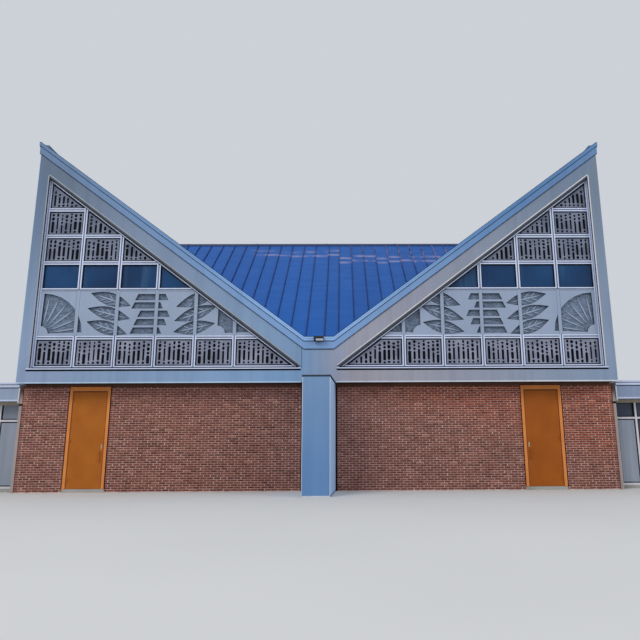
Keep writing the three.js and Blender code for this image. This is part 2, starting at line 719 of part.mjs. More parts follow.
for (const [name, side, facade] of [["left", -1, leftFacade], ["right", 1, rightFacade]]) {
  place(building, `${name}_brick`, sideBrick(side), "brick");
  place(facade, `${name}_upper_wall`, sideUpperWall(), "grey");
  place(facade, `${name}_glass`, sidePane(), "glass");
  place(facade, `${name}_cornice`, sideCornice(), "cornice");
  place(building, `roof_${name}_slope`, outerSlope(side), "roof");
  place(building, `${name}_door_lintel`, doorLintel(side), "brick");
  place(brickFace, `${name}_door_frame`, doorFrame(side), "doorFrame");
  place(brickFace, `${name}_door`, doorLeaf(side), "door");
  place(frontFacade, `${name}_downspout`, downspout(side), "white");
  place(building, `${name}_wing_walls`, wingWalls(side), "brick");
  place(building, `${name}_wing_roof`, wingRoof(side), "grey");
  place(building, `${name}_wing_window_frame`, wingGlazing(side), "white");
  place(building, `${name}_wing_glass`, wingGlass(side), "glass");
}

place(building, "roof_front_slope", mainSlope(-1), "roof");
place(building, "roof_back_slope", mainSlope(1), "roof");
place(building, "ridge_cap", ridgeCap(), "roof");

export default building;
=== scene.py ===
# Finishes and fine detail of a modern church with two steep gables over a brick ground storey:
# laid bricks, pierced screens, a cut relief band, seamed metal roofs, painted frames and trims.
# Metres, +Z up. The origin is on the ground at the middle of the plan, and the front faces -Y.
import math
import random

import bmesh
import bpy
from mathutils import Matrix, Vector


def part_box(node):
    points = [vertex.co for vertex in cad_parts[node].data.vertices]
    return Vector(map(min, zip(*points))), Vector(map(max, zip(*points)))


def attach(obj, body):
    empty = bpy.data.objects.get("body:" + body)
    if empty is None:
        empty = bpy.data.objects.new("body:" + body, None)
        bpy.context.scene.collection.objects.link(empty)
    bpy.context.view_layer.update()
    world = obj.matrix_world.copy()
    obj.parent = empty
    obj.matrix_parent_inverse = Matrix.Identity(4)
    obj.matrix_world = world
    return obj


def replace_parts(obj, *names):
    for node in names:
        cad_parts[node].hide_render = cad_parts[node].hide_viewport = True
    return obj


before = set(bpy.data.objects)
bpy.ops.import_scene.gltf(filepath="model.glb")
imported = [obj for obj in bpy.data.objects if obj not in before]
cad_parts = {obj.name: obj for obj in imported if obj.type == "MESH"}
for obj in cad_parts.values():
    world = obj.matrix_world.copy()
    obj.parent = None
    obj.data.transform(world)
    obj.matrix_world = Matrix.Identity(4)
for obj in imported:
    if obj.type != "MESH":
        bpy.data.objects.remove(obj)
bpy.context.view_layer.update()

# Sizes read from the construction
beam_low, beam_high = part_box("front_right_beam")
HALF_WIDTH = beam_high.x
FRAME_FACE = beam_low.y
OPENING_INNER = beam_low.x
SOFFIT = beam_low.z
SILL = beam_high.z
OPENING_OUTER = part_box("front_right_post")[0].x
BRICK_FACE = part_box("front_middle_brick")[0].y
main_low, main_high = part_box("roof_front_slope")
ROOF_EDGE_Y = -main_low.y
RIDGE = main_high.z
RIDGE_HALF = main_high.x
ROOF_EDGE_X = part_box("roof_right_slope")[1].x
wing_low, wing_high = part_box("right_wing_roof")
WING_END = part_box("right_wing_walls")[1].x
WING_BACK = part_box("right_wing_walls")[1].y
WING_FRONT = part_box("right_wing_window_frame")[0].y

# Roof lines
VALLEY_HALF = 0.455
VALLEY = 4.19
PEAK = 10.63
RAKE = (PEAK - VALLEY) / (HALF_WIDTH - VALLEY_HALF)
ROOF_VALLEY = 4.5
MAIN_SLOPE = (RIDGE - ROOF_VALLEY) / ROOF_EDGE_Y

# Window walls: y is measured inwards from the face of the grey frame
APEX = 9.82
OPENING_SLOPE = (APEX - SILL) / (OPENING_OUTER - OPENING_INNER)
MODULE = 1.219
COLUMNS = 5
FIRST_LINE = OPENING_OUTER + 0.003
BAR = 0.11
BORDER_POST = 0.15
FRONT_BORDER_POST = 0.06
BORDER_SILL = 0.125
BORDER_RAKE = 0.11
FRONT_BORDER_RAKE = 0.078
ROW_LINES = [4.6, 6.11, 6.985, 7.87, 8.76]
ROW_KINDS = ["screen", "relief", "glass", "screen", "screen", "screen"]
SIDE_TOP = 9.68
SIDE_COLUMNS = 10
BAR_FACE = 0.15
PANEL_FACE = 0.21

# Bricks, standing proud of their mortar bed
COURSE = 0.0677
STRETCHER = 0.203
JOINT = 0.012
BRICK_BED = 0.092
BRICK_PROUD = 0.003
SHORTEST_CUT = 0.03
HEAD_SHADE_BAND = {"height": 0.1, "gap": 0.005, "proud": 0.012, "inset": 0.001}
PIER_JOINT = (0.5, 0.552)

# Roof seams, and the pale lines of painted reflection that lie across the trays below the ridge
SEAM_PITCH = 0.508
SEAM_START = 0.086
SEAM = {"width": 0.028, "height": 0.042, "sunk": 0.01, "crest": 0.55}
SEAM_END = {"foot": 0.06, "head": 0.15, "outer": 0.02, "beside": 0.35, "shortest": 0.4}
MIDDLE_LAP = 0.07
RIDGE_GLINT = {"drops": (0.52, 0.84), "width": 0.1, "step": 0.48}

STATIC = "building"
STILL = Matrix.Identity(4)
HAIR = 0.0005  # keeps the faces of two pieces out of one plane


# Finishes. Colours are given as the red, green and blue of a screen, 0 to 255

def colour(levels):
    """A shader colour from screen levels. A colour that nodes make stays as it is."""
    if isinstance(levels, Value):
        return levels
    shares = [level / 255 for level in levels]
    return (*(s / 12.92 if s <= 0.04045 else ((s + 0.055) / 1.055) ** 2.4 for s in shares), 1.0)


class Value:
    """A number, colour or vector that varies over a surface. Operators on numbers add Math nodes."""

    def __init__(self, finish, socket):
        self.finish = finish
        self.socket = socket

    def maths(self, operation, first, second):
        return self.finish.node("Math", {"operation": operation}, {0: first, 1: second})

    def __add__(self, other):
        return self.maths("ADD", self, other)

    def __sub__(self, other):
        return self.maths("SUBTRACT", self, other)

    def __rsub__(self, other):
        return self.maths("SUBTRACT", other, self)

    def __mul__(self, other):
        return self.maths("MULTIPLY", self, other)

    def __truediv__(self, other):
        return self.maths("DIVIDE", self, other)

    def __gt__(self, other):
        return self.maths("GREATER_THAN", self, other)

    __radd__ = __add__


class Finish:
    """A procedural material. Its varying values come from nodes, and its constants sit on the shader."""

    def __init__(self, name, slot, specular=0.5, metallic=0.0):
        self.slot = slot
        self.material = bpy.data.materials.new(name)
        self.material.use_nodes = True
        self.tree = self.material.node_tree
        self.shader = self.tree.nodes["Principled BSDF"]
        self.wear({"Specular IOR Level": specular, "Metallic": metallic})

    def node(self, kind, settings, inputs, output=0):
        made = self.tree.nodes.new("ShaderNode" + kind)
        for name, value in settings.items():
            if name == "stops":
                self.set_stops(made.color_ramp, value)
            else:
                setattr(made, name, value)
        for name, value in inputs.items():
            self.feed(made.inputs[name], value)
        return Value(self, made.outputs[output])

    def feed(self, socket, value):
        if isinstance(value, Value):
            self.tree.links.new(value.socket, socket)
        else:
            socket.default_value = value

    def set_stops(self, ramp, stops):
        while len(ramp.elements) < len(stops):
            ramp.elements.new(1.0)
        for element, (position, levels) in zip(ramp.elements, stops):
            element.position = position
            element.color = colour(levels)

    def wear(self, inputs):
        for name, value in inputs.items():
            self.feed(self.shader.inputs[name], value)

    def surface(self, base, roughness, height, distance, strength=1.0):
        """Colour, gloss and a bump of the given height, which close a finish."""
        bump = self.node("Bump", {}, {"Height": height, "Distance": distance, "Strength": strength})
        self.wear({"Base Color": base, "Roughness": roughness, "Normal": bump})
        return self

    def measured(self, operation, vector, output=0):
        here = self.node("TexCoord", {}, {}, "Object")
        return self.node("VectorMath", {"operation": operation}, {0: here, 1: vector}, output)

    def along(self, direction):
        return self.measured("DOT_PRODUCT", direction, "Value")

    def noise(self, scale, detail=2.0, stretch=(1, 1, 1)):
        place = self.measured("MULTIPLY", stretch)
        return self.node("TexNoise", {}, {"Vector": place, "Scale": scale, "Detail": detail})

    def cells(self, scale):
        place = self.measured("MULTIPLY", (1, 1, 1))
        return self.node("TexVoronoi", {}, {"Vector": place, "Scale": scale})

    def spread(self, value, low, high):
        """The value stretched so that low becomes 0 and high becomes 1, and held there."""
        return self.node("MapRange", {"clamp": True}, {"Value": value, "From Min": low, "From Max": high})

    def patches(self, scale, detail, low, high, stretch=(1, 1, 1)):
        return self.spread(self.noise(scale, detail, stretch), low, high)

    def mix(self, factor, first, second):
        return self.node("Mix", {"data_type": "RGBA"}, {0: factor, 6: colour(first), 7: colour(second)}, 2)

    def line(self, value, at, half):
        """1 where the value is at its middle, falling to 0 at half a width either side."""
        away = self.node("Math", {"operation": "ABSOLUTE"}, {0: value - at})
        return self.spread(away, half, 0.0)

    def tinted(self, base, tints):
        """The base colour times each tint, which comes in along a direction from one place to another."""
        for direction, start, full, shade in tints:
            inputs = {0: self.spread(self.along(direction), start, full), 6: base, 7: (*shade, 1.0)}
            base = self.node("Mix", {"data_type": "RGBA", "blend_type": "MULTIPLY"}, inputs, 2)
        return base


# Slow changes of colour over the building: direction, where it starts, where it is full, and the tint. Most
# of them are painted light and shade, marked below
ACROSS = (1, 0, 0)
UP = (0, 0, 1)
LEFT_AND_UP = (-1, 0, 1)
RIGHT_AND_UP = (0.3, 0, 1)
# Painted shade: cooler and bluer over the left half
COOL_LEFT_SHADE = (ACROSS, 1.0, -0.5, (0.57, 1.0, 1.42))
# Painted light: paler towards the left end
PALE_LEFT_END_LIGHT = (ACROSS, -1.0, -8.5, (1.3, 1.02, 0.92))
# Painted shade: bluer towards the right end
BLUE_RIGHT_END_SHADE = (ACROSS, 1.5, 8.5, (0.64, 0.88, 1.09))
# Painted shade: darker towards the peaks
SHADED_PEAKS = (UP, 4.5, 10.0, (0.7, 0.69, 0.66))
# Painted shade: darker still high on the left gable
SHADED_LEFT_PEAK = (LEFT_AND_UP, 12.9, 18.4, (0.57, 0.66, 0.73))
# Painted shade: bluer towards the foot of the pier
BLUE_FOOT_SHADE = (UP, 3.3, 0.6, (0.72, 0.88, 1.03))
PALE_CAP = (UP, SOFFIT, SOFFIT + 0.004, (1.35, 1.08, 0.95))
# Painted shade: the cornices darker towards the left end
DIM_LEFT_END = (ACROSS, -3.0, -8.5, (0.42, 0.52, 0.6))
# Painted shade: the cornices darker towards the right end
DIM_RIGHT_END = (ACROSS, 3.2, 5.5, (0.72, 0.86, 0.96))
# Painted shade: the light cornice bands darker higher up
DIM_LIGHT_BAND = (UP, 5.0, 7.5, (0.66, 0.75, 0.82))
# Painted shade: the edge strip darker over the left half
DIM_LEFT = (ACROSS, 1.0, -0.5, (0.5, 0.56, 0.62))
# Painted light: the wing paler towards the left end
LIT_LEFT_WING = (ACROSS, 0.0, -9.0, (1.22, 1.2, 1.12))
PALE_COPING = (UP, wing_high.z - 0.142, wing_high.z - 0.138, (1.8, 1.65, 1.5))
# Painted light: the bricks lighter towards the top of the wall
LIT_HEAD = (UP, 2.3, 3.0, (1.3, 1.25, 1.25))
# Painted light: warmer at the top of the bricks on the right
WARM_LIT_RIGHT_HEAD = (RIGHT_AND_UP, 3.0, 3.9, (1.22, 0.93, 0.7))
# Painted shade: the drip strip cooler on the left half
COOL_DRIP_SHADE = (ACROSS, 1.0, -0.5, (0.72, 0.92, 1.06))
DARK_UPPER = (UP, 6.9, 7.3, (0.68, 0.74, 0.76))
SHADED_HEAD = (UP, 2.72, 3.0, (0.16, 0.12, 0.11))


def paint(name, slot, bright, dull, roughness, tints=(), streaks=0.5, metallic=0.0, joint=None):
    """Weathered paint: soft patches, thin rain streaks and a fine skin, times the given tints, most of them
    painted light and shade, and a dark level joint at a height, partly painted shade.
    """
    finish = Finish(name, slot, 0.3, metallic)
    patches = finish.patches(0.45, 3.0, 0.3, 0.7)
    rain = finish.patches(1.0, 4.0, 0.42, 0.7, (5, 5, 0.25))
    base = finish.tinted(finish.mix(patches * (1 - streaks) + rain * streaks, bright, dull), tints)
    if joint:
        # The joint line is partly a real joint and partly painted shade of the gap
        base = finish.mix(finish.line(finish.along(UP), joint, 0.04), base, (8, 14, 24))
    grain = finish.noise(70.0, 3.0)
    skin = finish.noise(6.0, 2.0) * 0.7 + grain * 0.3
    return finish.surface(base, roughness + (grain - 0.5) * 0.12, skin, 0.002, 0.6)


FIRINGS = [
    (0.0, (104, 58, 50)),
    (0.25, (130, 78, 66)),
    (0.7, (144, 88, 74)),
    (0.96, (156, 98, 84)),
    (1.0, (190, 138, 120)),
]


def brick_face(name, top, tints=()):
    """Fired brick, with painted shade along the lower edge of each course, counted down from the top."""
    finish = Finish(name, "brick", 0.2)
    each = finish.node("NewGeometry", {}, {}, "Random Per Island")
    tone = finish.node("ValToRGB", {"stops": FIRINGS}, {0: each})
    down = finish.node("Math", {"operation": "FRACT"}, {0: (top - finish.along(UP)) / COURSE})
    # Painted shade along the lower edge of each course
    lower_edge_shade = finish.mix(finish.spread(down, 0.5, 0.75) * 0.75, tone, (44, 24, 24))
    speckle = finish.noise(120.0, 4.0)
    fired = finish.mix(finish.spread(speckle, 0.45, 0.75) * 0.3, lower_edge_shade, (100, 64, 56))
    base = finish.mix(finish.patches(0.35, 3.0, 0.35, 0.7) * 0.3, fired, (112, 76, 72))
    return finish.surface(finish.tinted(base, tints), 0.8 + speckle * 0.15, speckle, 0.003)


def mortar():
    finish = Finish("lime_mortar", "brick", 0.1)
    sand = finish.noise(160.0, 4.0)
    base = finish.mix(finish.patches(5.0, 3.0, 0.35, 0.65), (222, 190, 178), (170, 138, 128))
    return finish.surface(finish.mix(sand * 0.3, base, (150, 122, 112)), 0.95, sand, 0.003)


def roof_metal(name, bright, dull, glint_colour, upper_glint=0.0):
    """Folded roof sheets with a slight wave, each tray its own tone, and two pale lines of painted
    reflection across the trays near the ridge, lower down on the right half, where a painted glint can
    light the upper ends as well."""
    finish = Finish(name, "roof_metal", 0.22, 0.1)
    across = finish.along(ACROSS)
    order = finish.node("Math", {"operation": "FLOOR"}, {0: (across - SEAM_START) / SEAM_PITCH})
    shade = finish.node("TexWhiteNoise", {"noise_dimensions": "1D"}, {"W": order})
    wave = finish.noise(1.0, 1.0, (1.2, 3.0, 3.0))
    base = finish.mix(shade * 0.5 + wave * 0.5, bright, dull)
    drop = RIDGE - finish.along(UP) + (shade - 0.5) * 0.2 - (across > 0.6) * RIDGE_GLINT["step"]
    # Painted reflection: two pale lines below the ridge, broken into patches by rubbed and fading out to
    # the left by ends
    lines = sum((finish.line(drop, at, RIDGE_GLINT["width"]) for at in RIDGE_GLINT["drops"]), 0.0)
    rubbed = finish.patches(1.0, 3.0, 0.36, 0.58, (2.2, 2.2, 2.2))
    ends = finish.spread(across, -3.4, -2.4)
    # Painted glint near the ridge on the right, as strong as upper_glint
    upper = finish.spread(drop, 1.3, 0.3) * finish.spread(across, -0.2, 3.0) * upper_glint
    glinted = finish.mix(lines * rubbed * ends * 0.7, base, glint_colour)
    return finish.surface(finish.mix(upper * rubbed, glinted, glint_colour), 0.42 + wave * 0.15, wave, 0.02, 0.5)


def screen_concrete():
    finish = Finish("cast_screen", "screen_concrete", 0.15)
    pits = finish.cells(55.0)
    cloud = finish.patches(2.2, 4.0, 0.3, 0.7)
    base = finish.tinted(finish.mix(cloud, (150, 154, 172), (112, 118, 136)), [DARK_UPPER])
    pitted = finish.mix(finish.spread(pits, 0.0, 0.5), (104, 106, 120), base)
    return finish.surface(pitted, 0.85 + cloud * 0.1, pits, 0.004)


def relief_ground():
    """The rough sunken ground of the relief, tooled in short strokes."""
    finish = Finish("tooled_ground", "relief_stone", 0.15)
    strokes = finish.noise(9.0, 4.0, (1.0, 1.0, 3.5))
    grit = finish.cells(40.0)
    base = finish.mix(finish.spread(strokes, 0.35, 0.65), (86, 97, 114), (124, 139, 162))
    gritty = finish.mix(finish.spread(grit, 0.0, 0.4), (72, 82, 98), base)
    return finish.surface(gritty, 0.85 + strokes * 0.1, strokes * 0.7 + grit * 0.3, 0.012)


def window_glass(name, deep, clear, reflection_colour):
    """Dark glass that has upright bands of a paler painted reflection."""
    finish = Finish(name, "window_glass", 0.25)
    bands = finish.noise(0.8, 2.0, (3.0, 3.0, 0.3))
    base = finish.mix(finish.patches(0.5, 2.0, 0.35, 0.65), deep, clear)
    # Painted reflection in upright bands
    reflected = finish.mix(finish.spread(bands, 0.55, 0.75) * 0.5, base, reflection_colour)
    return finish.surface(reflected, 0.08 + bands * 0.08, bands, 0.004, 0.3)


def door_paint(name, bright, dull):
    """Brushed timber paint with upright strokes and rubbed patches."""
    finish = Finish(name, "door_paint", 0.2)
    strokes = finish.noise(14.0, 4.0, (4.0, 4.0, 0.2))
    rubbed = finish.patches(1.6, 3.0, 0.35, 0.7)
    base = finish.mix(strokes * 0.5 + rubbed * 0.5, bright, dull)
    return finish.surface(base, 0.45 + strokes * 0.2, strokes, 0.001)


def floor_concrete():
    finish = Finish("floor_concrete", "floor_concrete", 0.2)
    grit = finish.noise(90.0, 3.0)
    base = finish.mix(finish.patches(1.2, 5.0, 0.3, 0.7), (176, 174, 168), (142, 140, 134))
    return finish.surface(base, 0.8 + grit * 0.15, grit, 0.001)


def speckled(name, scale, dark, light, roughness, depth, specular=0.5, metallic=0.0):
    """One fine grain for the colour, the gloss and the surface."""
    finish = Finish(name, "black_metal", specular, metallic)
    grain = finish.noise(scale, 3.0)
    rough = roughness[0] + grain * roughness[1]
    return finish.surface(finish.mix(grain, dark, light), rough, grain, depth)


# Groups of tints: those of the frames and the cornices are all painted light and shade
FRAME_TINTS = (COOL_LEFT_SHADE, PALE_LEFT_END_LIGHT, BLUE_RIGHT_END_SHADE, SHADED_PEAKS, SHADED_LEFT_PEAK)
CORNICE_TINTS = (SHADED_PEAKS, DIM_LEFT_END, DIM_RIGHT_END)
LIGHT_TINTS = CORNICE_TINTS + (DIM_LIGHT_BAND,)
PIER_TINTS = (BLUE_FOOT_SHADE, PALE_CAP)
WING_TINTS = (LIT_LEFT_WING, PALE_COPING)
FRAME_PAINT = paint("frame_paint", "frame_paint", (158, 156, 165), (144, 142, 151), 0.6, FRAME_TINTS)
# Painted light: one frame paint in two copies, each coloured to the light on its side
RAFTER_PAINT_BY_LIGHT = {
    "left": paint("left_rafter_paint", "frame_paint", (161, 153, 159), (147, 139, 145), 0.6, FRAME_TINTS),
    "right": paint("right_rafter_paint", "frame_paint", (157, 158, 171), (143, 144, 157), 0.6, FRAME_TINTS),
}
# Painted light: the paler sides of the pier
PIER_SIDE_LIGHT = paint("sheet_paint", "frame_paint", (174, 208, 248), (164, 198, 238), 0.6)
# Its dark line at SOFFIT paints the joint under the cap and the shade in it
PIER_PAINT = paint(
    "pier_paint", "frame_paint", (116, 147, 183), (104, 135, 171), 0.6, PIER_TINTS, joint=SOFFIT)
WING_PAINT = paint("wing_paint", "frame_paint", (138, 152, 178), (124, 138, 166), 0.6, WING_TINTS)
# Pale trim; on the pier's corner beads it also paints in the highlights of the edges
TRIM_AND_HIGHLIGHT_PAINT = paint("trim_paint", "frame_paint", (206, 210, 216), (180, 186, 196), 0.5)
DRIP_PAINT = paint("drip_paint", "frame_paint", (206, 210, 216), (180, 186, 196), 0.5, [COOL_DRIP_SHADE])
RAKE_SHADE = paint("rake_shade", "frame_paint", (68, 74, 82), (56, 62, 70), 0.7)
# Pale trim whose colour also paints in the highlight along the opening's edge
EDGE_TRIM_AND_HIGHLIGHT = paint("edge_paint", "frame_paint", (208, 206, 208), (184, 182, 186), 0.6, [DIM_LEFT])
# Painted shade: the dark linings of the reveals
REVEAL_SHADE = paint("reveal_paint", "frame_paint", (42, 44, 50), (28, 30, 36), 0.7)
# Painted shade: the dark undersides of the beams
SOFFIT_SHADE = paint("soffit_paint", "frame_paint", (40, 34, 32), (24, 20, 20), 0.8)
BAR_PAINT = paint("bar_paint", "bar_paint", (206, 216, 240), (184, 194, 218), 0.5, streaks=0.3)
GROOVE_PAINT = paint("groove_paint", "bar_paint", (104, 112, 132), (86, 94, 114), 0.6)
COPING_PAINT = paint("coping_paint", "cornice_metal", (196, 206, 230), (176, 186, 210), 0.5)
CORNICE_LIGHT = paint(
    "cornice_light", "cornice_metal", (154, 194, 240), (138, 176, 222), 0.4, LIGHT_TINTS, 0.3, 0.1)
CORNICE_BLUE = paint(
    "cornice_blue", "cornice_metal", (128, 162, 206), (114, 148, 194), 0.4, CORNICE_TINTS, 0.4, 0.1)
WHITE_PAINT = paint("white_paint", "white_metal", (214, 212, 216), (186, 182, 186), 0.5)
BEIGE_PAINT = paint("beige_paint", "white_metal", (176, 164, 142), (150, 138, 116), 0.6)
PANEL_GREY = paint("panel_grey", "white_metal", (150, 158, 172), (128, 136, 150), 0.5)
BLIND_GREY = paint("blind_grey", "white_metal", (140, 148, 162), (120, 128, 142), 0.5)
SPOUT_PAINT = paint("spout_paint", "white_metal", (168, 154, 150), (146, 132, 128), 0.6, [SHADED_HEAD])
RELIEF_FACE = paint("relief_face", "relief_stone", (150, 164, 186), (138, 152, 174), 0.75, streaks=0.3)
# Painted shade: the darker sides of the cuts in the relief
CUT_EDGE_SHADE = paint("cut_edge", "relief_stone", (70, 80, 98), (50, 60, 76), 0.8)
# Painted shade: a dark band under the beams in place of the top course
HEAD_SHADE_BROWN = paint("band_brown", "brick", (96, 62, 48), (78, 48, 36), 0.8)
# Painted shade: the dark strip round the top and sides of each door leaf
LEAF_SHADE_BROWN = paint("strip_brown", "door_paint", (70, 40, 20), (52, 30, 16), 0.7)
RIDGE_PAINT = paint("ridge_paint", "roof_metal", (34, 52, 96), (24, 40, 80), 0.5)
MEMBRANE = paint("roof_membrane", "roof_metal", (168, 172, 178), (138, 142, 150), 0.8, streaks=0.1)
# The third colour is the painted reflection; the side slopes and side seams repeat their own colour and
# show none
ROOF_BLUE = roof_metal("roof_blue", (10, 91, 173), (4, 80, 158), (166, 160, 192))
SIDE_ROOF_BLUE = roof_metal("side_roof_blue", (10, 91, 173), (4, 80, 158), (10, 91, 173))
# The seams are darker than the trays: painted shade beside each standing seam
SEAM_BLUE = roof_metal("seam_blue", (14, 48, 112), (8, 38, 96), (176, 150, 170), 0.8)
SIDE_SEAM_BLUE = roof_metal("side_seam_blue", (14, 48, 112), (8, 38, 96), (14, 48, 112))
BRICK = brick_face("fired_brick", SOFFIT, [LIT_HEAD, WARM_LIT_RIGHT_HEAD])
WING_BRICK = brick_face("wing_fired_brick", wing_low.z)
MORTAR = mortar()
CAST_SCREEN = screen_concrete()
GROUND = relief_ground()
GLASS = window_glass("tinted_glass", (14, 46, 82), (26, 68, 112), (60, 94, 126))
WING_GLASS = window_glass("wing_glass", (50, 58, 72), (70, 78, 94), (96, 102, 114))
DOORS = {
    "left": door_paint("left_door_paint", (176, 102, 28), (152, 82, 20)),
    "right": door_paint("right_door_paint", (164, 88, 16), (140, 70, 10)),
}
DOOR_FRAME = door_paint("door_frame_paint", (222, 140, 74), (198, 116, 56))
CONCRETE = floor_concrete()
# Near-black for real joints, gaskets, sashes and straps, and also for painted shade in gaps, grooves and
# under ledges
DARK_JOINT_AND_SHADE = speckled("dark_joint", 30.0, (6, 8, 13), (26, 28, 34), (0.8, 0.15), 0.001, 0.1)
BLACK = speckled("black_metal", 80.0, (18, 20, 24), (40, 42, 48), (0.4, 0.2), 0.0006, metallic=0.3)


# Mesh making

class Heap:
    """Closed shapes gathered into one mesh. Outlines are lists of (x, z), drawn from y0 to y1."""

    def __init__(self):
        self.points = []
        self.faces = []

    def add(self, points, faces):
        base = len(self.points)
        self.points.extend(points)
        self.faces.extend([base + i for i in face] for face in faces)

    def rings(self, points, count):
        """Rings of points joined into a tube, closed at both ends."""
        faces = [tuple(range(count)), tuple(range(len(points) - 1, len(points) - count - 1, -1))]
        for ring in range(0, len(points) - count, count):
            for i in range(count):
                here, after = ring + i, ring + (i + 1) % count
                faces.append((here, after, after + count, here + count))
        self.add(points, faces)

    def prism(self, outline, y0, y1):
        if outline:
            self.rings([(x, y, z) for y in (y0, y1) for x, z in outline], len(outline))

    def box(self, x0, x1, y0, y1, z0, z1, sides=(1,), ends=(1,)):
        """A box, drawn once for each of the given sides in x and ends in y: 1 as given, -1 mirrored."""
        for side in sides:
            for end in ends:
                across, deep = sorted((side * x0, side * x1)), sorted((end * y0, end * y1))
                self.prism(rectangle(*across, z0, z1), *deep)

    def sheet(self, start, end, thick, z0, z1):
        """An upright sheet between two places (x, y) of the plan, thick to its left."""
        (ax, ay), (bx, by) = start, end
        length = math.hypot(bx - ax, by - ay)
        nx, ny = (ay - by) / length * thick, (bx - ax) / length * thick
        plan = [(ax, ay), (bx, by), (bx + nx, by + ny), (ax + nx, ay + ny)]
        self.rings([(x, y, z) for z in (z0, z1) for x, y in plan], 4)

    def pipe(self, section, ends):
        """A closed section of (u, v) carried between frames; each end is (origin, u axis, v axis)."""
        self.rings([origin + u * a + v * b for origin, u, v in ends for a, b in section], len(section))

    def rail(self, section, x0, x1, y=0.0, z=0.0):
        """A section of (y, z) carried level along x."""
        self.pipe(section, [(Vector((x, y, z)), Vector((0, 1, 0)), Vector((0, 0, 1))) for x in (x0, x1)])

    def ring(self, outline, width, y0, y1):
        """A frame of the given width inside a convex outline, made of one mitred bar for each edge."""
        inner = shrunk(outline, width)
        for i in range(len(outline)):
            j = (i + 1) % len(outline)
            self.prism([outline[i], outline[j], inner[j], inner[i]], y0, y1)

    def mesh(self, name, place):
        mesh = bpy.data.meshes.new(name)
        mesh.from_pydata([place @ Vector(point) for point in self.points], [], self.faces)
        return closed(mesh)


WELD = 1e-5
NO_AREA = 1e-7


def closed(mesh, weld=False):
    """The mesh with the faces of every shape pointing out, and the seams of a filled plate welded."""
    solid = bmesh.new()
    solid.from_mesh(mesh)
    if weld:
        bmesh.ops.remove_doubles(solid, verts=solid.verts, dist=WELD)
        bmesh.ops.dissolve_degenerate(solid, edges=solid.edges, dist=WELD)
        turn_slivers(solid)
    bmesh.ops.recalc_face_normals(solid, faces=solid.faces)
    solid.to_mesh(mesh)
    solid.free()
    return mesh


def turn_slivers(solid):
    """Turns the long edge of each face that has no area, in a few passes, until none is left."""
    for _ in range(8):
        for face in [face for face in solid.faces if face.calc_area() < NO_AREA]:
            if face.is_valid:
                bmesh.utils.edge_rotate(max(face.edges, key=bmesh.types.BMEdge.calc_length))


def placed(name, data):
    """A new object in the scene."""
    made = bpy.data.objects.new(name, data)
    bpy.context.scene.collection.objects.link(made)
    return made


def piece(name, mesh, finish, slot=None, body=STATIC):
    made = placed(name, mesh)
    mesh.materials.append(finish.material)
    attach(made, body)
    slot or finish.slot
    return made


drawn = []


def draw(name, finish, place=STILL, slot=None, body=STATIC):
    """A heap that becomes a piece once everything is drawn."""
    heap = Heap()
    drawn.append((heap, name, finish, place, slot, body))
    return heap


def make_drawn():
    for heap, name, finish, place, slot, body in drawn:
        piece(name, heap.mesh(name, place), finish, slot, body)


def plate_mesh(loops, thickness, y, place):
    """An upright plate with holes, its middle at depth y. Each loop is an edge or a hole inside one."""
    curve = bpy.data.curves.new("plate", "CURVE")
    curve.dimensions = "2D"
    curve.fill_mode = "BOTH"
    curve.extrude = thickness / 2
    for loop in loops:
        spline = curve.splines.new("POLY")
        spline.points.add(len(loop) - 1)
        for point, (x, z) in zip(spline.points, loop):
            point.co = (x, z, 0, 1)
        spline.use_cyclic_u = True
    holder = bpy.data.objects.new("plate", curve)
    mesh = bpy.data.meshes.new_from_object(holder)
    bpy.data.objects.remove(holder)
    bpy.data.curves.remove(curve)
    mesh.transform(place @ Matrix(((1, 0, 0, 0), (0, 0, 1, y), (0, 1, 0, 0), (0, 0, 0, 1))))
    return closed(mesh, weld=True)


# Outlines

def rectangle(x0, x1, z0, z1):
    return [(x0, z0), (x1, z0), (x1, z1), (x0, z1)]


def following(outline):
    """Each point of an outline with the one after it."""
    return zip(outline, outline[1:] + outline[:1])


def clipped(outline, height, slope):
    """The part of a convex outline below the line z = height + slope * x."""
    kept = []
    for (x, z), (ahead_x, ahead_z) in following(outline):
        here = height + slope * x - z
        ahead = height + slope * ahead_x - ahead_z
        if here >= 0:
            kept.append((x, z))
        if here * ahead < 0:
            share = here / (here - ahead)
            kept.append((x + (ahead_x - x) * share, z + (ahead_z - z) * share))
    return kept


def area(outline):
    return abs(sum(x * ahead_z - ahead_x * z for (x, z), (ahead_x, ahead_z) in following(outline))) / 2


def inside(outline, x, z):
    return all((bx - ax) * (z - az) >= (bz - az) * (x - ax) for (ax, az), (bx, bz) in following(outline))


def shrunk(outline, distance):
    """A convex outline, anticlockwise, with every edge moved inwards."""
    moved = []
    count = len(outline)
    for i in range(count):
        before, here, after = (Vector(outline[(i + k) % count]) for k in (-1, 0, 1))
        into, out = (here - before).normalized(), (after - here).normalized()
        turn = into.x * out.y - into.y * out.x
        start, end = here + Vector((-into.y, into.x)) * distance, here + Vector((-out.y, out.x)) * distance
        gap = end - start
        share = (gap.x * out.y - gap.y * out.x) / turn if abs(turn) > 1e-6 else 0.0
        moved.append(tuple(start + into * share))
    return moved


def turned(x, z, turn, outline):
    """An outline drawn about the origin, turned and moved to (x, z)."""
    c, s = math.cos(turn), math.sin(turn)
    return [(x + a * c - b * s, z + a * s + b * c) for a, b in outline]


# Where each wall stands: x along it, y inwards, z up
def wall(x, y, turn):
    return Matrix.Translation((x, y, 0)) @ Matrix.Rotation(turn, 4, "Z")


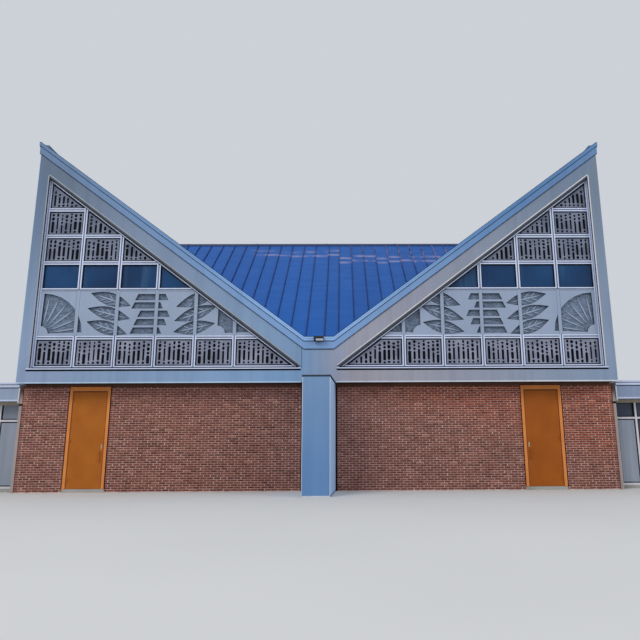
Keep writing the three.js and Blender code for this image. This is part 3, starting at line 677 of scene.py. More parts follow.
FRONT = wall(0, FRAME_FACE, 0)
BACK = wall(0, -FRAME_FACE, math.pi)
MIRROR = Matrix.Diagonal((-1, 1, 1, 1))
BOTH = (-1, 1)
GABLES = {
    "front_left": FRONT @ MIRROR,
    "front_right": FRONT,
    "back_left": BACK,
    "back_right": BACK @ MIRROR,
}
SIDES = {"left": wall(-HALF_WIDTH, 0, -math.pi / 2), "right": wall(HALF_WIDTH, 0, math.pi / 2)}


# Bricks

GAPES = (0.0, 0.0, 0.003, 0.012)  # how much wider than the others an upright joint can be
UNEVEN = 0.001
WING_STUB = 0.25
WING_WALL = 0.3


def brick_walls(name, place, runs, top, first=0, finish=BRICK):
    """Running bond on a wall, counted down from its top. A run is (start, end, start parity, end parity):
    at a corner of that parity the courses pass the corner in turn with those of the next wall, and None
    is a cut end."""
    dice = random.Random(name)
    heap = draw(name, finish, place)
    for k in range(first, int(top / COURSE)):
        for start, end, start_parity, end_parity in runs:
            left = corner_end(start, -1, start_parity, k)
            right = corner_end(end, 1, end_parity, k)
            lay_course(heap, left, right, top - (k + 1) * COURSE, k, dice)


def corner_end(at, outwards, parity, k):
    if parity is None:
        return at
    return at + outwards * (BRICK_PROUD if k % 2 == parity else BRICK_PROUD - BRICK_BED - JOINT)


def lay_course(heap, start, end, low, k, dice):
    shift = STRETCHER / 2 * (k % 2)
    first = math.floor((start - shift) / STRETCHER)
    last = math.ceil((end - shift) / STRETCHER)
    for n in range(first, last + 1):
        gape = dice.choice(GAPES)
        left = max(n * STRETCHER + shift + JOINT / 2 + gape, start)
        right = min((n + 1) * STRETCHER + shift - JOINT / 2, end)
        if right - left > SHORTEST_CUT:
            face = -BRICK_PROUD + dice.uniform(-UNEVEN, UNEVEN)
            heap.box(left, right, face, BRICK_BED - BRICK_PROUD, low, low + COURSE - JOINT)


def head_shade_bands():
    """A dark board in place of the top course: painted shade under the beams."""
    across = (PIER_JOINT[0], HALF_WIDTH - HEAD_SHADE_BAND["inset"])
    deep = (HAIR - BRICK_FACE, HEAD_SHADE_BAND["proud"] - BRICK_FACE)
    heights = (SOFFIT - HEAD_SHADE_BAND["height"], SOFFIT - HEAD_SHADE_BAND["gap"])
    draw("brick_head_bands", HEAD_SHADE_BROWN).box(*across, *deep, *heights, BOTH, BOTH)


def mirrored(runs):
    return [(-end, -start, end_parity, start_parity) for start, end, start_parity, end_parity in runs]


def lay_hall_bricks():
    left_door, right_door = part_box("left_door_frame"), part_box("right_door_frame")
    pier_half = PIER_JOINT[1]
    front = [
        (-HALF_WIDTH, left_door[0].x, 0, None),
        (left_door[1].x, -pier_half, None, None),
        (pier_half, right_door[0].x, None, None),
        (right_door[1].x, HALF_WIDTH, None, 0),
    ]
    back = [(-HALF_WIDTH, -pier_half, 0, None), (pier_half, HALF_WIDTH, None, 0)]
    side = [(BRICK_FACE, WING_FRONT, 1, None), (WING_BACK, -BRICK_FACE, None, 1)]
    brick_walls("front_bricks", wall(0, BRICK_FACE, 0), front, SOFFIT, 1)
    brick_walls("back_bricks", wall(0, -BRICK_FACE, math.pi), back, SOFFIT, 1)
    brick_walls("right_bricks", SIDES["right"], side, SOFFIT)
    brick_walls("left_bricks", SIDES["left"], mirrored(side), SOFFIT)
    head_shade_bands()


def lay_wing_bricks(name, side):
    front = [
        (HALF_WIDTH + 0.001, HALF_WIDTH + WING_STUB, None, None),
        (WING_END - WING_WALL, WING_END, None, 0),
    ]
    walls = {
        "end": (wall(side * WING_END, 0, side * math.pi / 2), [(WING_FRONT, WING_BACK, 1, 1)]),
        "back": (wall(0, WING_BACK, math.pi), [(-WING_END, -HALF_WIDTH, 0, None)]),
        "front": (wall(0, WING_FRONT, 0), front),
    }
    for part, (place, runs) in walls.items():
        runs = runs if side > 0 else mirrored(runs)
        brick_walls(f"{name}_wing_{part}_bricks", place, runs, wing_low.z, 0, WING_BRICK)


# Window walls

def opening_line(drop):
    """Height at x = 0 and slope of the line that runs under the rake, moved square to it by drop."""
    height = SILL - OPENING_SLOPE * OPENING_INNER - drop * math.hypot(1, OPENING_SLOPE)
    return height, OPENING_SLOPE


def spans_between(lines, first, last):
    """The clear widths between bars, from the lower end to the upper one."""
    ends = [first] + [line + reach for line in lines for reach in (-BAR / 2, BAR / 2)] + [last]
    return list(zip(ends[::2], ends[1::2]))


SMALLEST_SHAPE = 0.002


class Window:
    """The layout of one window wall: its bar lines, clear spans and the line that cuts it off."""

    def __init__(self, name, place, left, right, lines, border, rake):
        self.name = name
        self.place = place
        self.left = left
        self.right = right
        self.lines = lines
        self.border = border
        self.rake = rake
        self.cut = rake > 0
        self.spans = spans_between(lines, left + border[0], right - border[1])
        self.top = APEX if self.cut else SIDE_TOP
        self.rows = spans_between(ROW_LINES, SILL + BORDER_SILL, self.top if self.cut else self.top - BAR)

    def shape(self, x0, x1, z0, z1, drop=None):
        outline = rectangle(x0, x1, z0, z1)
        if self.cut:
            outline = clipped(outline, *opening_line(self.rake if drop is None else drop))
        return outline if len(outline) > 2 and area(outline) > SMALLEST_SHAPE else None

    def cells(self, kind, inset=0.0):
        for row, (z0, z1) in enumerate(self.rows):
            for x0, x1 in self.spans if ROW_KINDS[row] == kind else []:
                edges = (x0 + inset, x1 - inset, z0 + inset, z1 - inset)
                outline = self.shape(*edges, self.rake + inset)
                if outline:
                    yield outline

    def ceiling(self, x, drop):
        if not self.cut:
            return self.top
        height, slope = opening_line(drop)
        return height + slope * x

    def strip(self, heap, x0, x1, z0, z1, sunk=0.0, drop=None):
        """A flat strip on the bars, cut off by the rake."""
        heap.prism(self.shape(x0, x1, z0, z1, drop), CAP_FACE + sunk, CAP_BACK)

    def draw(self, part, finish):
        return draw(f"{self.name}_{part}", finish, self.place)


def gable_window(name):
    lines = sorted(FIRST_LINE - n * MODULE for n in range(1, COLUMNS + 1))
    post, rake = (FRONT_BORDER_POST, FRONT_BORDER_RAKE) if "front" in name else (BORDER_POST, BORDER_RAKE)
    return Window(name, GABLES[name], OPENING_INNER, OPENING_OUTER, lines, (0.0, post), rake)


def side_window(name):
    half = SIDE_COLUMNS * MODULE / 2
    lines = [-half + n * MODULE for n in range(1, SIDE_COLUMNS)]
    return Window(name, SIDES[name], -half, half, lines, (BORDER_SILL, BORDER_SILL), 0.0)


CAP = {"edge": 0.055, "groove": 0.019, "proud": 0.012, "joint": 0.004}
CAP_FACE = BAR_FACE - CAP["proud"]
CAP_BACK = BAR_FACE - HAIR
CAP_FOOT = SILL + 0.09
SILL_GAP = {"low": SILL + 0.064, "high": CAP_FOOT - 0.001, "left": 0.1, "right": 0.001}
POST_STRIPS = {"wide": (0.0, 0.075), "narrow": (0.09, 0.134), "joint": (0.136, 0.149)}
RAKE_STRIPS = {"joint": (0.001, 0.026), "light": (0.03, 0.059), "gap": (0.063, 0.077)}
RAKE_LIP = {"wide": 0.054, "foot": SILL + 0.07, "proud": 0.0015, "back": 0.0004}


def bar_caps(window):
    """Two flat strips on each bar with a groove between them. Across the band the bars are plain."""
    caps, covers = window.draw("bar_caps", BAR_PAINT), window.draw("bar_covers", RELIEF_FACE)
    # The dark joints paint in the shade in the gaps at the cell borders, under the rake and over the sill
    shade_joints, shade = window.draw("bar_joints", DARK_JOINT_AND_SHADE), window.draw("rake_shade", RAKE_SHADE)
    edge, groove, joint = CAP["edge"], CAP["groove"], CAP["joint"]
    strips = ((-edge, -groove), (groove, edge))
    band_low, band_line = window.rows[1][0], ROW_LINES[1]
    for line in window.lines:
        for near, far in strips:
            for z0, z1 in ((CAP_FOOT, band_low), (band_line + groove, window.top)):
                window.strip(caps, line + near, line + far, z0, z1)
        ends = (line - edge + joint, line + edge - joint)
        window.strip(covers, *ends, band_low + joint, band_line - groove, joint)
    for z in ROW_LINES:
        for near, far in strips:
            heap, sunk = (covers, joint) if z == band_line and near < 0 else (caps, 0.0)
            for x0, x1 in window.spans:
                window.strip(heap, x0, x1, z + near + sunk, z + far, sunk)
    for x0, x1 in window.spans:
        window.strip(caps, x0, x1, CAP_FOOT, SILL + BORDER_SILL)
    post_strips(window, {"wide": caps, "narrow": covers, "joint": shade_joints})
    top_strips(window, {"joint": shade, "light": caps, "gap": shade_joints})
    ends = (window.left + SILL_GAP["left"], window.right - SILL_GAP["right"])
    shade_joints.box(*ends, CAP_FACE, CAP_BACK, SILL_GAP["low"], SILL_GAP["high"])


def post_strips(window, heaps):
    """Upright strips on the border beside a post, counted outwards from the last cell."""
    posts = [(window.right - window.border[1], 1)]
    if not window.cut:
        posts.append((window.left + window.border[0], -1))
    top = window.top if window.cut else window.top - 0.001
    for kind, heap in heaps.items():
        near, far = (share * window.border[1] / BORDER_POST for share in POST_STRIPS[kind])
        for at, side in posts:
            ends = sorted((at + side * near, at + side * far))
            window.strip(heap, *ends, CAP_FOOT, top, drop=RAKE_STRIPS["joint"][1])


def top_strips(window, heaps):
    """Strips on the border under the rake, or under a level head, and a shaded lip over the rake."""
    if window.cut:
        lip = rake_strip(window, -RAKE_LIP["wide"], 0.0, RAKE_LIP["foot"], window.right)
        heaps["joint"].prism(lip, -RAKE_LIP["proud"], -RAKE_LIP["back"])
    for kind, heap in heaps.items():
        upper, lower = RAKE_STRIPS[kind]
        if window.cut:
            heap.prism(rake_strip(window, upper, lower), CAP_FACE, CAP_BACK)
        else:
            x0, x1 = window.left + window.border[0], window.right - window.border[1]
            heap.box(x0, x1, CAP_FACE, CAP_BACK, window.top - lower, window.top - upper)


def rake_strip(window, upper, lower, foot=CAP_FOOT, right=None):
    """A strip between two lines parallel to the rake, cut level at its foot and upright at its head."""
    right = right or window.right - window.border[1]
    strip = []
    for drop in (lower, upper):
        height, slope = opening_line(drop)
        strip.append([((foot - height) / slope, foot), (right, height + slope * right)])
    return strip[0] + strip[1][::-1]


def bar_frame(window, node):
    """The bars of a front window as one pierced plate, with a slim border beside the post."""
    loops = [window.shape(window.left, window.right - HAIR, SILL + HAIR, window.top, HAIR)]
    for kind in sorted(set(ROW_KINDS)):
        loops.extend(window.cells(kind))
    depth = PANEL_FACE - BAR_FACE - HAIR
    plate = plate_mesh(loops, depth, BAR_FACE + depth / 2, window.place)
    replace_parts(piece(f"{window.name}_bar_frame", plate, GROOVE_PAINT), node)


SCREEN = {"gap": 0.036, "face": 0.17, "depth": 0.034, "backing": 0.004}
SLOTS = {
    "pitch": 0.145, "margin": 0.014, "gap": 0.028, "shortest": 0.05, "half": (0.036, 0.054), "sway": 0.005,
    "lift": 0.02, "dot": (0.06, 0.1), "tall": (0.22, 0.44), "upper": (0.06, 0.12), "uppers": 6,
    "without_dot": 0.35, "narrowing": (0.7, 1.0),
}


def slot_loop(x, half, low, high):
    """An upright hole with chamfered ends."""
    end = min(half * 0.75, (high - low) * 0.35)
    return [
        (x - half, low + end), (x - half / 2, low), (x + half / 2, low), (x + half, low + end),
        (x + half, high - end), (x + half / 2, high), (x - half / 2, high), (x - half, high - end),
    ]


def screen_slots(window, outline, dice):
    """Columns of openings in one panel: a dot at the foot, a tall slot, then dots up to its edge."""
    xs, zs = zip(*outline)
    margin, sway = SLOTS["margin"], SLOTS["sway"]
    room = max(xs) - min(xs) - 2 * margin
    count = max(1, round(room / SLOTS["pitch"]))
    for i in range(count):
        widest = dice.uniform(*SLOTS["half"])
        x = min(xs) + margin + (i + 0.5) * room / count + dice.uniform(-sway, sway)
        ceiling = min(max(zs), window.ceiling(x - widest, window.rake + SCREEN["gap"])) - margin
        z = min(zs) + margin + dice.uniform(0.0, SLOTS["lift"])
        lengths = [dice.uniform(*SLOTS["dot"]), dice.uniform(*SLOTS["tall"])]
        lengths += [dice.uniform(*SLOTS["upper"]) for _ in range(SLOTS["uppers"])]
        if dice.random() < SLOTS["without_dot"]:
            lengths.pop(0)
        for length in lengths:
            length = min(length, ceiling - z)
            if length < SLOTS["shortest"]:
                break
            yield slot_loop(x, widest * dice.uniform(*SLOTS["narrowing"]), z, z + length)
            z += length + SLOTS["gap"]


def screens(window):
    dice = random.Random(window.name)
    loops, backing = [], window.draw("screen_gaps", DARK_JOINT_AND_SHADE)
    for outline in window.cells("screen", SCREEN["gap"]):
        loops.append(outline)
        loops.extend(screen_slots(window, outline, dice))
    # A dark backing behind each screen, seen in the gap round its plate: painted shade of the recess
    for outline in window.cells("screen"):
        backing.prism(outline, PANEL_FACE - SCREEN["backing"], PANEL_FACE - HAIR)
    plate = plate_mesh(loops, SCREEN["depth"], SCREEN["face"] + SCREEN["depth"] / 2, window.place)
    piece(f"{window.name}_screens", plate, CAST_SCREEN)


GASKET = {"width": 0.022, "deep": 0.03}


def glass_gaskets(window):
    """A thin dark gasket round the inside of each pane of the glass row."""
    heap = window.draw("gaskets", DARK_JOINT_AND_SHADE)
    for outline in window.cells("glass"):
        heap.ring(outline, GASKET["width"], PANEL_FACE - GASKET["deep"], PANEL_FACE - 0.001)


SILL_EDGE = {
    "low": 0.006, "high": 0.042, "proud": 0.024, "ear": 0.09, "ear_drop": 0.004, "fall": 0.02,
    "nose": (0.03, 0.008), "gap": 0.001, "valley_gap": 0.02,
}
SILL_SHADOW = {"proud": 0.008, "low": SILL - 0.044, "gap": 0.002}


def sill(window):
    """A projecting sill with a small ear past each post, and a dark strip under it that paints in the
    sill's shadow.
    """
    low, high, front = SILL + SILL_EDGE["low"], SILL + SILL_EDGE["high"], -SILL_EDGE["proud"]
    ear, (nose, round_off) = SILL_EDGE["ear"], SILL_EDGE["nose"]
    gap = SILL_EDGE["valley_gap"] if window.cut else SILL_EDGE["gap"]
    left, right = window.left + gap, window.right - SILL_EDGE["gap"]
    back = (BAR_FACE, high + SILL_EDGE["fall"])
    heap, under = window.draw("sill", BAR_PAINT), window.draw("sill_joint", DARK_JOINT_AND_SHADE)
    section = [(front, low), (BAR_FACE, low), back, (front + nose, high), (front, high - round_off)]
    heap.rail(section, left, right)
    ends = (front, -HAIR, low, high - SILL_EDGE["ear_drop"])
    heap.box(window.right, window.right + ear, *ends)
    start = left
    if not window.cut:
        start = window.left - ear
        heap.box(start, window.left, *ends)
    # The dark strip under the sill is painted shadow
    heights = (SILL_SHADOW["low"], low - SILL_SHADOW["gap"])
    under.box(start, window.right + ear, -SILL_SHADOW["proud"], -HAIR, *heights)


SKIN = 0.004
SHADED_REVEAL = (0.004, 0.062)
PALE_REVEAL = (0.066, CAP_FACE - 0.001)
REVEAL = {"foot": SILL + 0.075, "pale_head": 0.06, "dark_head": 0.03}
EDGE = {"width": 0.034, "proud": 0.003, "foot": SILL + 0.052, "rake_foot": SILL + 0.11}


def reveals(window):
    """Dark linings on the faces of the opening, painted shade of the reveal, and a fine pale strip round
    its edge, a trim that also paints in the highlight along the edge.
    """
    lining, pale = window.draw("reveal_lining", REVEAL_SHADE), window.draw("pale_lining", BAR_PAINT)
    edge = window.draw("edge_strip", EDGE_TRIM_AND_HIGHLIGHT)
    left, right, cut = window.left, window.right, window.cut
    width, face, lip = EDGE["width"], (-EDGE["proud"], -HAIR), RAKE_LIP["wide"]
    top = window.ceiling(right, 0.0)
    head = window.ceiling(right, -lip) if cut else top + width
    for at, side in ((right, -1),) if cut else ((left, 1), (right, -1)):
        inner = (at + side * HAIR, at + side * SKIN)
        lining.box(*inner, *SHADED_REVEAL, REVEAL["foot"], top - (REVEAL["dark_head"] if cut else 0.0))
        pale.box(*inner, *PALE_REVEAL, REVEAL["foot"], top - REVEAL["pale_head"])
        edge.box(at, at - side * width, *face, EDGE["foot"], head)
    if cut:
        lining.prism(rake_strip(window, HAIR, SKIN, REVEAL["foot"], right - SKIN), *SHADED_REVEAL)
        edge.prism(rake_strip(window, -lip - width, -lip, EDGE["rake_foot"], right), *face)
    else:
        inset = SKIN + 0.001
        lining.box(left + inset, right - inset, *SHADED_REVEAL, top - SKIN, top - HAIR)
        edge.box(left, right, *face, top, top + width)


# The relief band, a plain design of fans, leaves and steps

RELIEF = {
    "plate": 0.144, "floor": 0.222, "rib": 0.026, "start": 0.08, "end": 1.2, "inset": 0.002, "reach": 0.05,
    "post_gap": 0.1, "rake_gap": 0.01, "back": 0.07, "plain_inset": 0.004,
}
LEAF = {"width": 0.42, "length": (1.3, 1.42), "turn": (12, 22), "back": (0.67, 0.03), "low": (0.25, 0.45)}
MIDRIB = {"share": 0.84, "width": 0.05}
VEINS = {
    "shares": (-0.2, -0.04, 0.12), "width": 0.03, "length": 0.62, "turn": 0.6, "ahead": 0.1, "aside": 0.2,
}
FAN = {
    "inner": 0.24, "outer": 1.27, "low": 0.07, "from": 91, "to": 178, "steps": 7, "rays": 6, "ray": 0.045,
    "share": 0.86,
}
STAIR = {
    "bars": 5, "rise": 0.265, "height": 0.2, "lean": 0.09, "low": 0.06, "back": 0.1, "length": (0.95, 1.08),
}


def lens(length, width, steps):
    """A slim shape with two curved sides, along the first axis."""
    side = []
    for i in range(steps):
        share = i / steps
        side.append((length * (share - 0.5), -width / 2 * math.sin(math.pi * share)))
    return side + [(-a, -b) for a, b in side]


def leaf(x, z, length, turn):
    """A sunken leaf, and the raised midrib and veins in it."""
    width = LEAF["width"]
    slim = lens(width * VEINS["length"], VEINS["width"], 3)
    ribs = [turned(x, z, turn, lens(length * MIDRIB["share"], MIDRIB["width"], 4))]
    for share in VEINS["shares"]:
        for side in BOTH:
            along, aside = length * share + VEINS["ahead"], side * width * VEINS["aside"]
            ribs.append(turned(x, z, turn, turned(along, aside, side * VEINS["turn"], slim)))
    return [turned(x, z, turn, lens(length, width, 8))], ribs


def leaves(x, z, lean, dice):
    hollows, ribs = [], []
    for k in range(3):
        turn = lean * math.radians(dice.uniform(*LEAF["turn"]))
        back, low = (start + step * k for start, step in (LEAF["back"], LEAF["low"]))
        sunken, raised = leaf(x - back, z + low, dice.uniform(*LEAF["length"]), turn)
        hollows += sunken
        ribs += raised
    return hollows, ribs


def fan(x, z):
    """A sunken sector of a ring, and the raised rays in it."""
    z += FAN["low"]
    inner, outer, steps, rays = FAN["inner"], FAN["outer"], FAN["steps"], FAN["rays"]
    start, end = math.radians(FAN["from"]), math.radians(FAN["to"])
    angles = [start + (end - start) * i / steps for i in range(steps + 1)]
    edge = [(x + outer * math.cos(a), z + outer * math.sin(a)) for a in angles]
    edge += [(x + inner * math.cos(a), z + inner * math.sin(a)) for a in reversed(angles)]
    middle, length = (inner + outer) / 2, (outer - inner) * FAN["share"]
    ribs = []
    for i in range(rays):
        a = start + (end - start) * (i + 0.5) / rays
        ray = lens(length, FAN["ray"], 3)
        ribs.append(turned(x + middle * math.cos(a), z + middle * math.sin(a), a, ray))
    return [edge], ribs


def stair(x, z, dice):
    """Sunken bars with slanted ends, set back in turn like a stair."""
    bars = []
    height, lean = STAIR["height"], STAIR["lean"]
    for k in range(STAIR["bars"]):
        end = x - STAIR["back"] * (k % 3)
        start = end - dice.uniform(*STAIR["length"])
        low = z + STAIR["low"] + STAIR["rise"] * k
        bars.append([(start, low), (end, low), (end - lean, low + height), (start + lean, low + height)])
    return bars, []


def relief_motifs(window):
    """Sunken shapes of the band and the raised ribs in them, laid out inwards from the post."""
    dice = random.Random(window.name + "_band")
    z = window.rows[1][0]
    # The room that each motif takes along the band, and how it is drawn
    motifs = [
        (1.36, lambda x: fan(x, z)),
        (1.38, lambda x: leaves(x, z, 1, dice)),
        (1.3, lambda x: stair(x, z, dice)),
        (1.38, lambda x: leaves(x, z, -1, dice)),
    ]
    hollows, ribs = [], []
    x = window.right - window.border[1] - RELIEF["start"]
    while x > OPENING_INNER + RELIEF["end"]:
        width, motif = motifs[0]
        motifs.append(motifs.pop(0))
        sunken, raised = motif(x)
        hollows += sunken
        ribs += raised
        x -= width
    return hollows, ribs


def carved(plates, cutters):
    """The plates' mesh with every cutting shape taken out of it."""
    cutter = placed("cutter", cutters)
    cut = plates.modifiers.new("cut", "BOOLEAN")
    cut.operation = "DIFFERENCE"
    cut.solver = "EXACT"
    cut.use_self = True
    cut.object = cutter
    bpy.context.view_layer.update()
    evaluated = plates.evaluated_get(bpy.context.evaluated_depsgraph_get())
    mesh = bpy.data.meshes.new_from_object(evaluated)
    plates.modifiers.clear()
    bpy.data.objects.remove(cutter)
    return mesh


def shade_cut_edges(mesh):
    """The edges of the plates, which face sideways, get a darker finish than their fronts: painted shade on
    the cuts.
    """
    mesh.materials.append(CUT_EDGE_SHADE.material)
    for face in mesh.polygons:
        face.material_index = 0 if abs(face.normal.y) > 0.5 else 1


def relief(window, node):
    z0, z1 = window.rows[1]
    face, floor, reach, inset = (RELIEF[part] for part in ("plate", "floor", "reach", "inset"))
    slab, cutters = Heap(), Heap()
    ground, raised = window.draw("relief_ground", GROUND), window.draw("relief_ribs", RELIEF_FACE)
    hollows, ribs = relief_motifs(window)
    for outline in window.cells("relief", inset):
        slab.prism(outline, face, floor + inset)
    for outline in hollows:
        cutters.prism(outline, face - reach, floor + reach)
    right = OPENING_OUTER - RELIEF["post_gap"]
    behind = window.shape(OPENING_INNER, right, z0 - reach, z1 + reach, RELIEF["rake_gap"])
    ground.prism(behind, floor, PANEL_FACE + RELIEF["back"])
    limit = window.shape(OPENING_INNER, OPENING_OUTER - window.border[1], z0, z1)
    for outline in ribs:
        if all(inside(limit, x, z) for x, z in outline):
            raised.prism(outline, floor - RELIEF["rib"], floor + 0.001)
    plates = piece(f"{window.name}_relief_plates", slab.mesh("plates", window.place), RELIEF_FACE)
    plates.data = carved(plates, cutters.mesh("cutters", window.place))
    shade_cut_edges(plates.data)
    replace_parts(plates, node)


def plain_band(window):
    """The same band left plain on the back and the sides."""
    heap = window.draw("plain_band", RELIEF_FACE)
    for outline in window.cells("relief", RELIEF["plain_inset"]):
        heap.prism(outline, RELIEF["plate"], PANEL_FACE - HAIR)


def dress_windows():
    for window in [gable_window(name) for name in GABLES] + [side_window(name) for name in SIDES]:
        for dressing in (bar_caps, screens, glass_gaskets, sill, reveals):
            dressing(window)
        if "front" in window.name:
            bar_frame(window, f"{window.name}_bars")
            relief(window, f"{window.name}_relief")
        else:
            plain_band(window)


# Cornices

def rake_top(x):
    along = min(max(abs(x), VALLEY_HALF), HALF_WIDTH)
    return VALLEY + RAKE * (along - VALLEY_HALF)


CORNICE_BACK = 0.15
# Each band's finish, its bottom and top above the frame, and how far it stands out
CORNICE_BANDS = {
    # The dark bands are lines of painted shade in the grooves between the others
    "dark": (DARK_JOINT_AND_SHADE, [(0.0, 0.016, 0.023), (0.25, 0.262, 0.046), (0.386, 0.399, 0.058)]),
    "blue": (CORNICE_BLUE, [(0.03, 0.232, 0.03)]),
    "light": (CORNICE_LIGHT, [(0.266, 0.316, 0.053), (0.332, 0.384, 0.053)]),
}


def cornice_trim(name, place, outline, back):
    """Bands along a cornice; outline gives its top line for a band's reach, back ends each band."""
    for kind, (finish, bands) in CORNICE_BANDS.items():
        heap = draw(f"{name}_cornice_{kind}", finish, place)
        for low, high, proud in bands:
            line = outline(proud)
            band = [(x, z + low) for x, z in line]
            band += [(x, z + high) for x, z in line[::-1]]
            heap.prism(band, -proud, back)


def valley_line(proud):
    end = HALF_WIDTH + proud
    return [(x, rake_top(x)) for x in (-end, -HALF_WIDTH, -VALLEY_HALF, VALLEY_HALF, HALF_WIDTH, end)]


def side_line(proud):
    half = -FRAME_FACE - CORNICE_BACK - 0.0003
    return [(-half, rake_top(HALF_WIDTH)), (half, rake_top(HALF_WIDTH))]


# Roof seams

def upright_seam(heap, start, end, normal):
    """A standing seam from start to end on a roof plane."""
    across = normal.cross((end - start).normalized())
    half, height = SEAM["width"] / 2, SEAM["height"]
    crest = half * SEAM["crest"]
    section = [(-half, -SEAM["sunk"]), (half, -SEAM["sunk"]), (crest, height), (-crest, height)]
    heap.pipe(section, [(start, across, normal), (end, across, normal)])


def main_seams(name, side):
    """Seams of a slope below the ridge, each ending short of the valley that it meets."""
    heap = draw(f"{name}_roof_seams", SEAM_BLUE)
    normal = Vector((0, side * MAIN_SLOPE, 1)).normalized()
    count = int(RIDGE_HALF / SEAM_PITCH) + 1
    for n in range(-count, count + 1):
        x = SEAM_START + n * SEAM_PITCH + (MIDDLE_LAP if n == 0 else 0.0)
        reach = min(1.0, 1 - (abs(x) - VALLEY_HALF) / (RIDGE_HALF - VALLEY_HALF))
        foot = reach * ROOF_EDGE_Y - SEAM_END["foot"]
        if abs(x) <= RIDGE_HALF - SEAM_END["beside"] and foot >= SEAM_END["shortest"]:
            ends = (foot, SEAM_END["head"])
            start, end = (Vector((x, side * y, RIDGE - MAIN_SLOPE * y)) for y in ends)
            upright_seam(heap, start, end, normal)


def valley_x(y):
    """Half width of the main slopes at a distance y from the ridge."""
    return VALLEY_HALF + (1 - abs(y) / ROOF_EDGE_Y) * (RIDGE_HALF - VALLEY_HALF)


def outer_seams(name, side):
    heap = draw(f"{name}_roof_seams", SIDE_SEAM_BLUE)
    normal = Vector((-side * RAKE, 0, 1)).normalized()
    count = int(ROOF_EDGE_Y / SEAM_PITCH)
    for n in range(-count, count + 1):
        y = n * SEAM_PITCH
        ends = (valley_x(y) + SEAM_END["foot"], ROOF_EDGE_X - SEAM_END["outer"])
        start, end = (Vector((side * x, y, ROOF_VALLEY + RAKE * (x - VALLEY_HALF))) for x in ends)
        upright_seam(heap, start, end, normal)


GUTTER = {"width": 0.11, "low": 0.001, "high": 0.004, "short": 0.3}


def valley_gutters():
    """Flat strips down both sides of the four valleys."""
    heap = draw("valley_gutters", CORNICE_BLUE, slot="roof_metal")
    section = rectangle(0.0, GUTTER["width"], GUTTER["low"], GUTTER["high"])
    for end in BOTH:
        for side in BOTH:
            bottom = Vector((side * VALLEY_HALF, end * ROOF_EDGE_Y, ROOF_VALLEY))
            top = Vector((side * RIDGE_HALF, 0, RIDGE))
            along = (top - bottom).normalized()
            for normal in (Vector((0, end * MAIN_SLOPE, 1)), Vector((-side * RAKE, 0, 1))):
                normal.normalize()
                across = normal.cross(along)
                if (across.y * end > 0) != (abs(normal.x) > 0.1):
                    across = -across
                head = top - along * GUTTER["short"]
                heap.pipe(section, [(bottom, across, normal), (head, across, normal)])


LAP = {"spacing": 3.05, "half": 0.05, "proud": 0.004, "rise": 0.038, "roll": (0.012, 0.014), "short": 0.02}


def ridge_laps():
    """Lap joints and a rolled edge on the ridge cap."""
    low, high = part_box("ridge_cap")
    heap = draw("ridge_laps", RIDGE_PAINT)
    spacing, rise, (roll_half, roll_rise) = LAP["spacing"], LAP["rise"], LAP["roll"]
    count = int((high.x - low.x) / spacing)
    half = high.y + LAP["proud"]
    foot = RIDGE - MAIN_SLOPE * half
    section = [(-half, foot), (0, RIDGE), (half, foot)]
    section += [(y, z + rise) for y, z in section[::-1]]
    for n in range(count + 1):
        x = -count * spacing / 2 + n * spacing
        heap.rail(section, x - LAP["half"], x + LAP["half"])
    for side in BOTH:
        roll = rectangle(-roll_half, roll_half, -roll_rise, roll_rise)
        heap.rail(roll, low.x + LAP["short"], high.x - LAP["short"], side * high.y, foot + roll_half)


# Frame trims

DRIP = {"drop": 0.022, "proud": 0.01, "rise": 0.038, "deep": 0.06, "head": 0.002}
CORNER_STRIP = (0.006, 0.022)
SHEET_EDGE = {"front": 0.055, "back": 0.01, "inner": 0.006, "thick": 0.004}
PANEL_JOINT = {"half": 0.005, "proud": 0.0015, "deep": 0.004, "foot": SILL + 0.03, "head": 0.004}


def frame_trims():
    """The pale drip strip round the foot of the frame and fine strips up its outer corners."""
    drip = draw("frame_drip_and_corners", DRIP_PAINT)
    low, high = SOFFIT - DRIP["drop"], SOFFIT - DRIP["drop"] + DRIP["rise"]
    half, deep, thick = HALF_WIDTH + DRIP["proud"], -FRAME_FACE + DRIP["proud"], DRIP["deep"]
    drip.box(OPENING_INNER, half, deep, deep - thick, low, high, BOTH, BOTH)
    drip.box(half, half - thick, -deep + thick, deep - thick, low, high, BOTH)
    across, along = ([edge - inset for inset in CORNER_STRIP] for edge in (half, deep))
    drip.box(*across, *along, high, rake_top(HALF_WIDTH) - DRIP["head"], BOTH, BOTH)


def soffits():
    """Dark sheets under the beams, painted shade, and the joint beside the panel over the pier."""
    across = (OPENING_INNER + SHEET_EDGE["inner"], HALF_WIDTH - SHEET_EDGE["front"])
    deep = (-FRAME_FACE - SHEET_EDGE["front"], -BRICK_FACE + SHEET_EDGE["back"])
    sheets = draw("beam_soffits", SOFFIT_SHADE)
    sheets.box(*across, *deep, SOFFIT - SHEET_EDGE["thick"], SOFFIT - HAIR, BOTH, BOTH)
    x, half = -OPENING_INNER, PANEL_JOINT["half"]
    deep = (-PANEL_JOINT["proud"], PANEL_JOINT["deep"])
    heights = (PANEL_JOINT["foot"], rake_top(x) - PANEL_JOINT["head"])
    draw("centre_panel_joint", DARK_JOINT_AND_SHADE, FRONT).box(x - half, x + half, *deep, *heights)


PIER = {"front_half": 0.38, "wall_half": 0.498, "proud": 1.6, "top": SOFFIT - 0.036, "back": 0.004}
PIER_BEAD = {"lap": 0.012, "proud": 0.003, "deep": 0.014}
PIER_FOOT = {"proud": 0.006, "rise": 0.035}
PIER_SHEET = {"start": 0.02, "thick": 0.0015, "foot": 0.05, "head": 0.004}
PIER_SHADOW = {"proud": 0.002, "deep": 0.012, "head": 0.006}


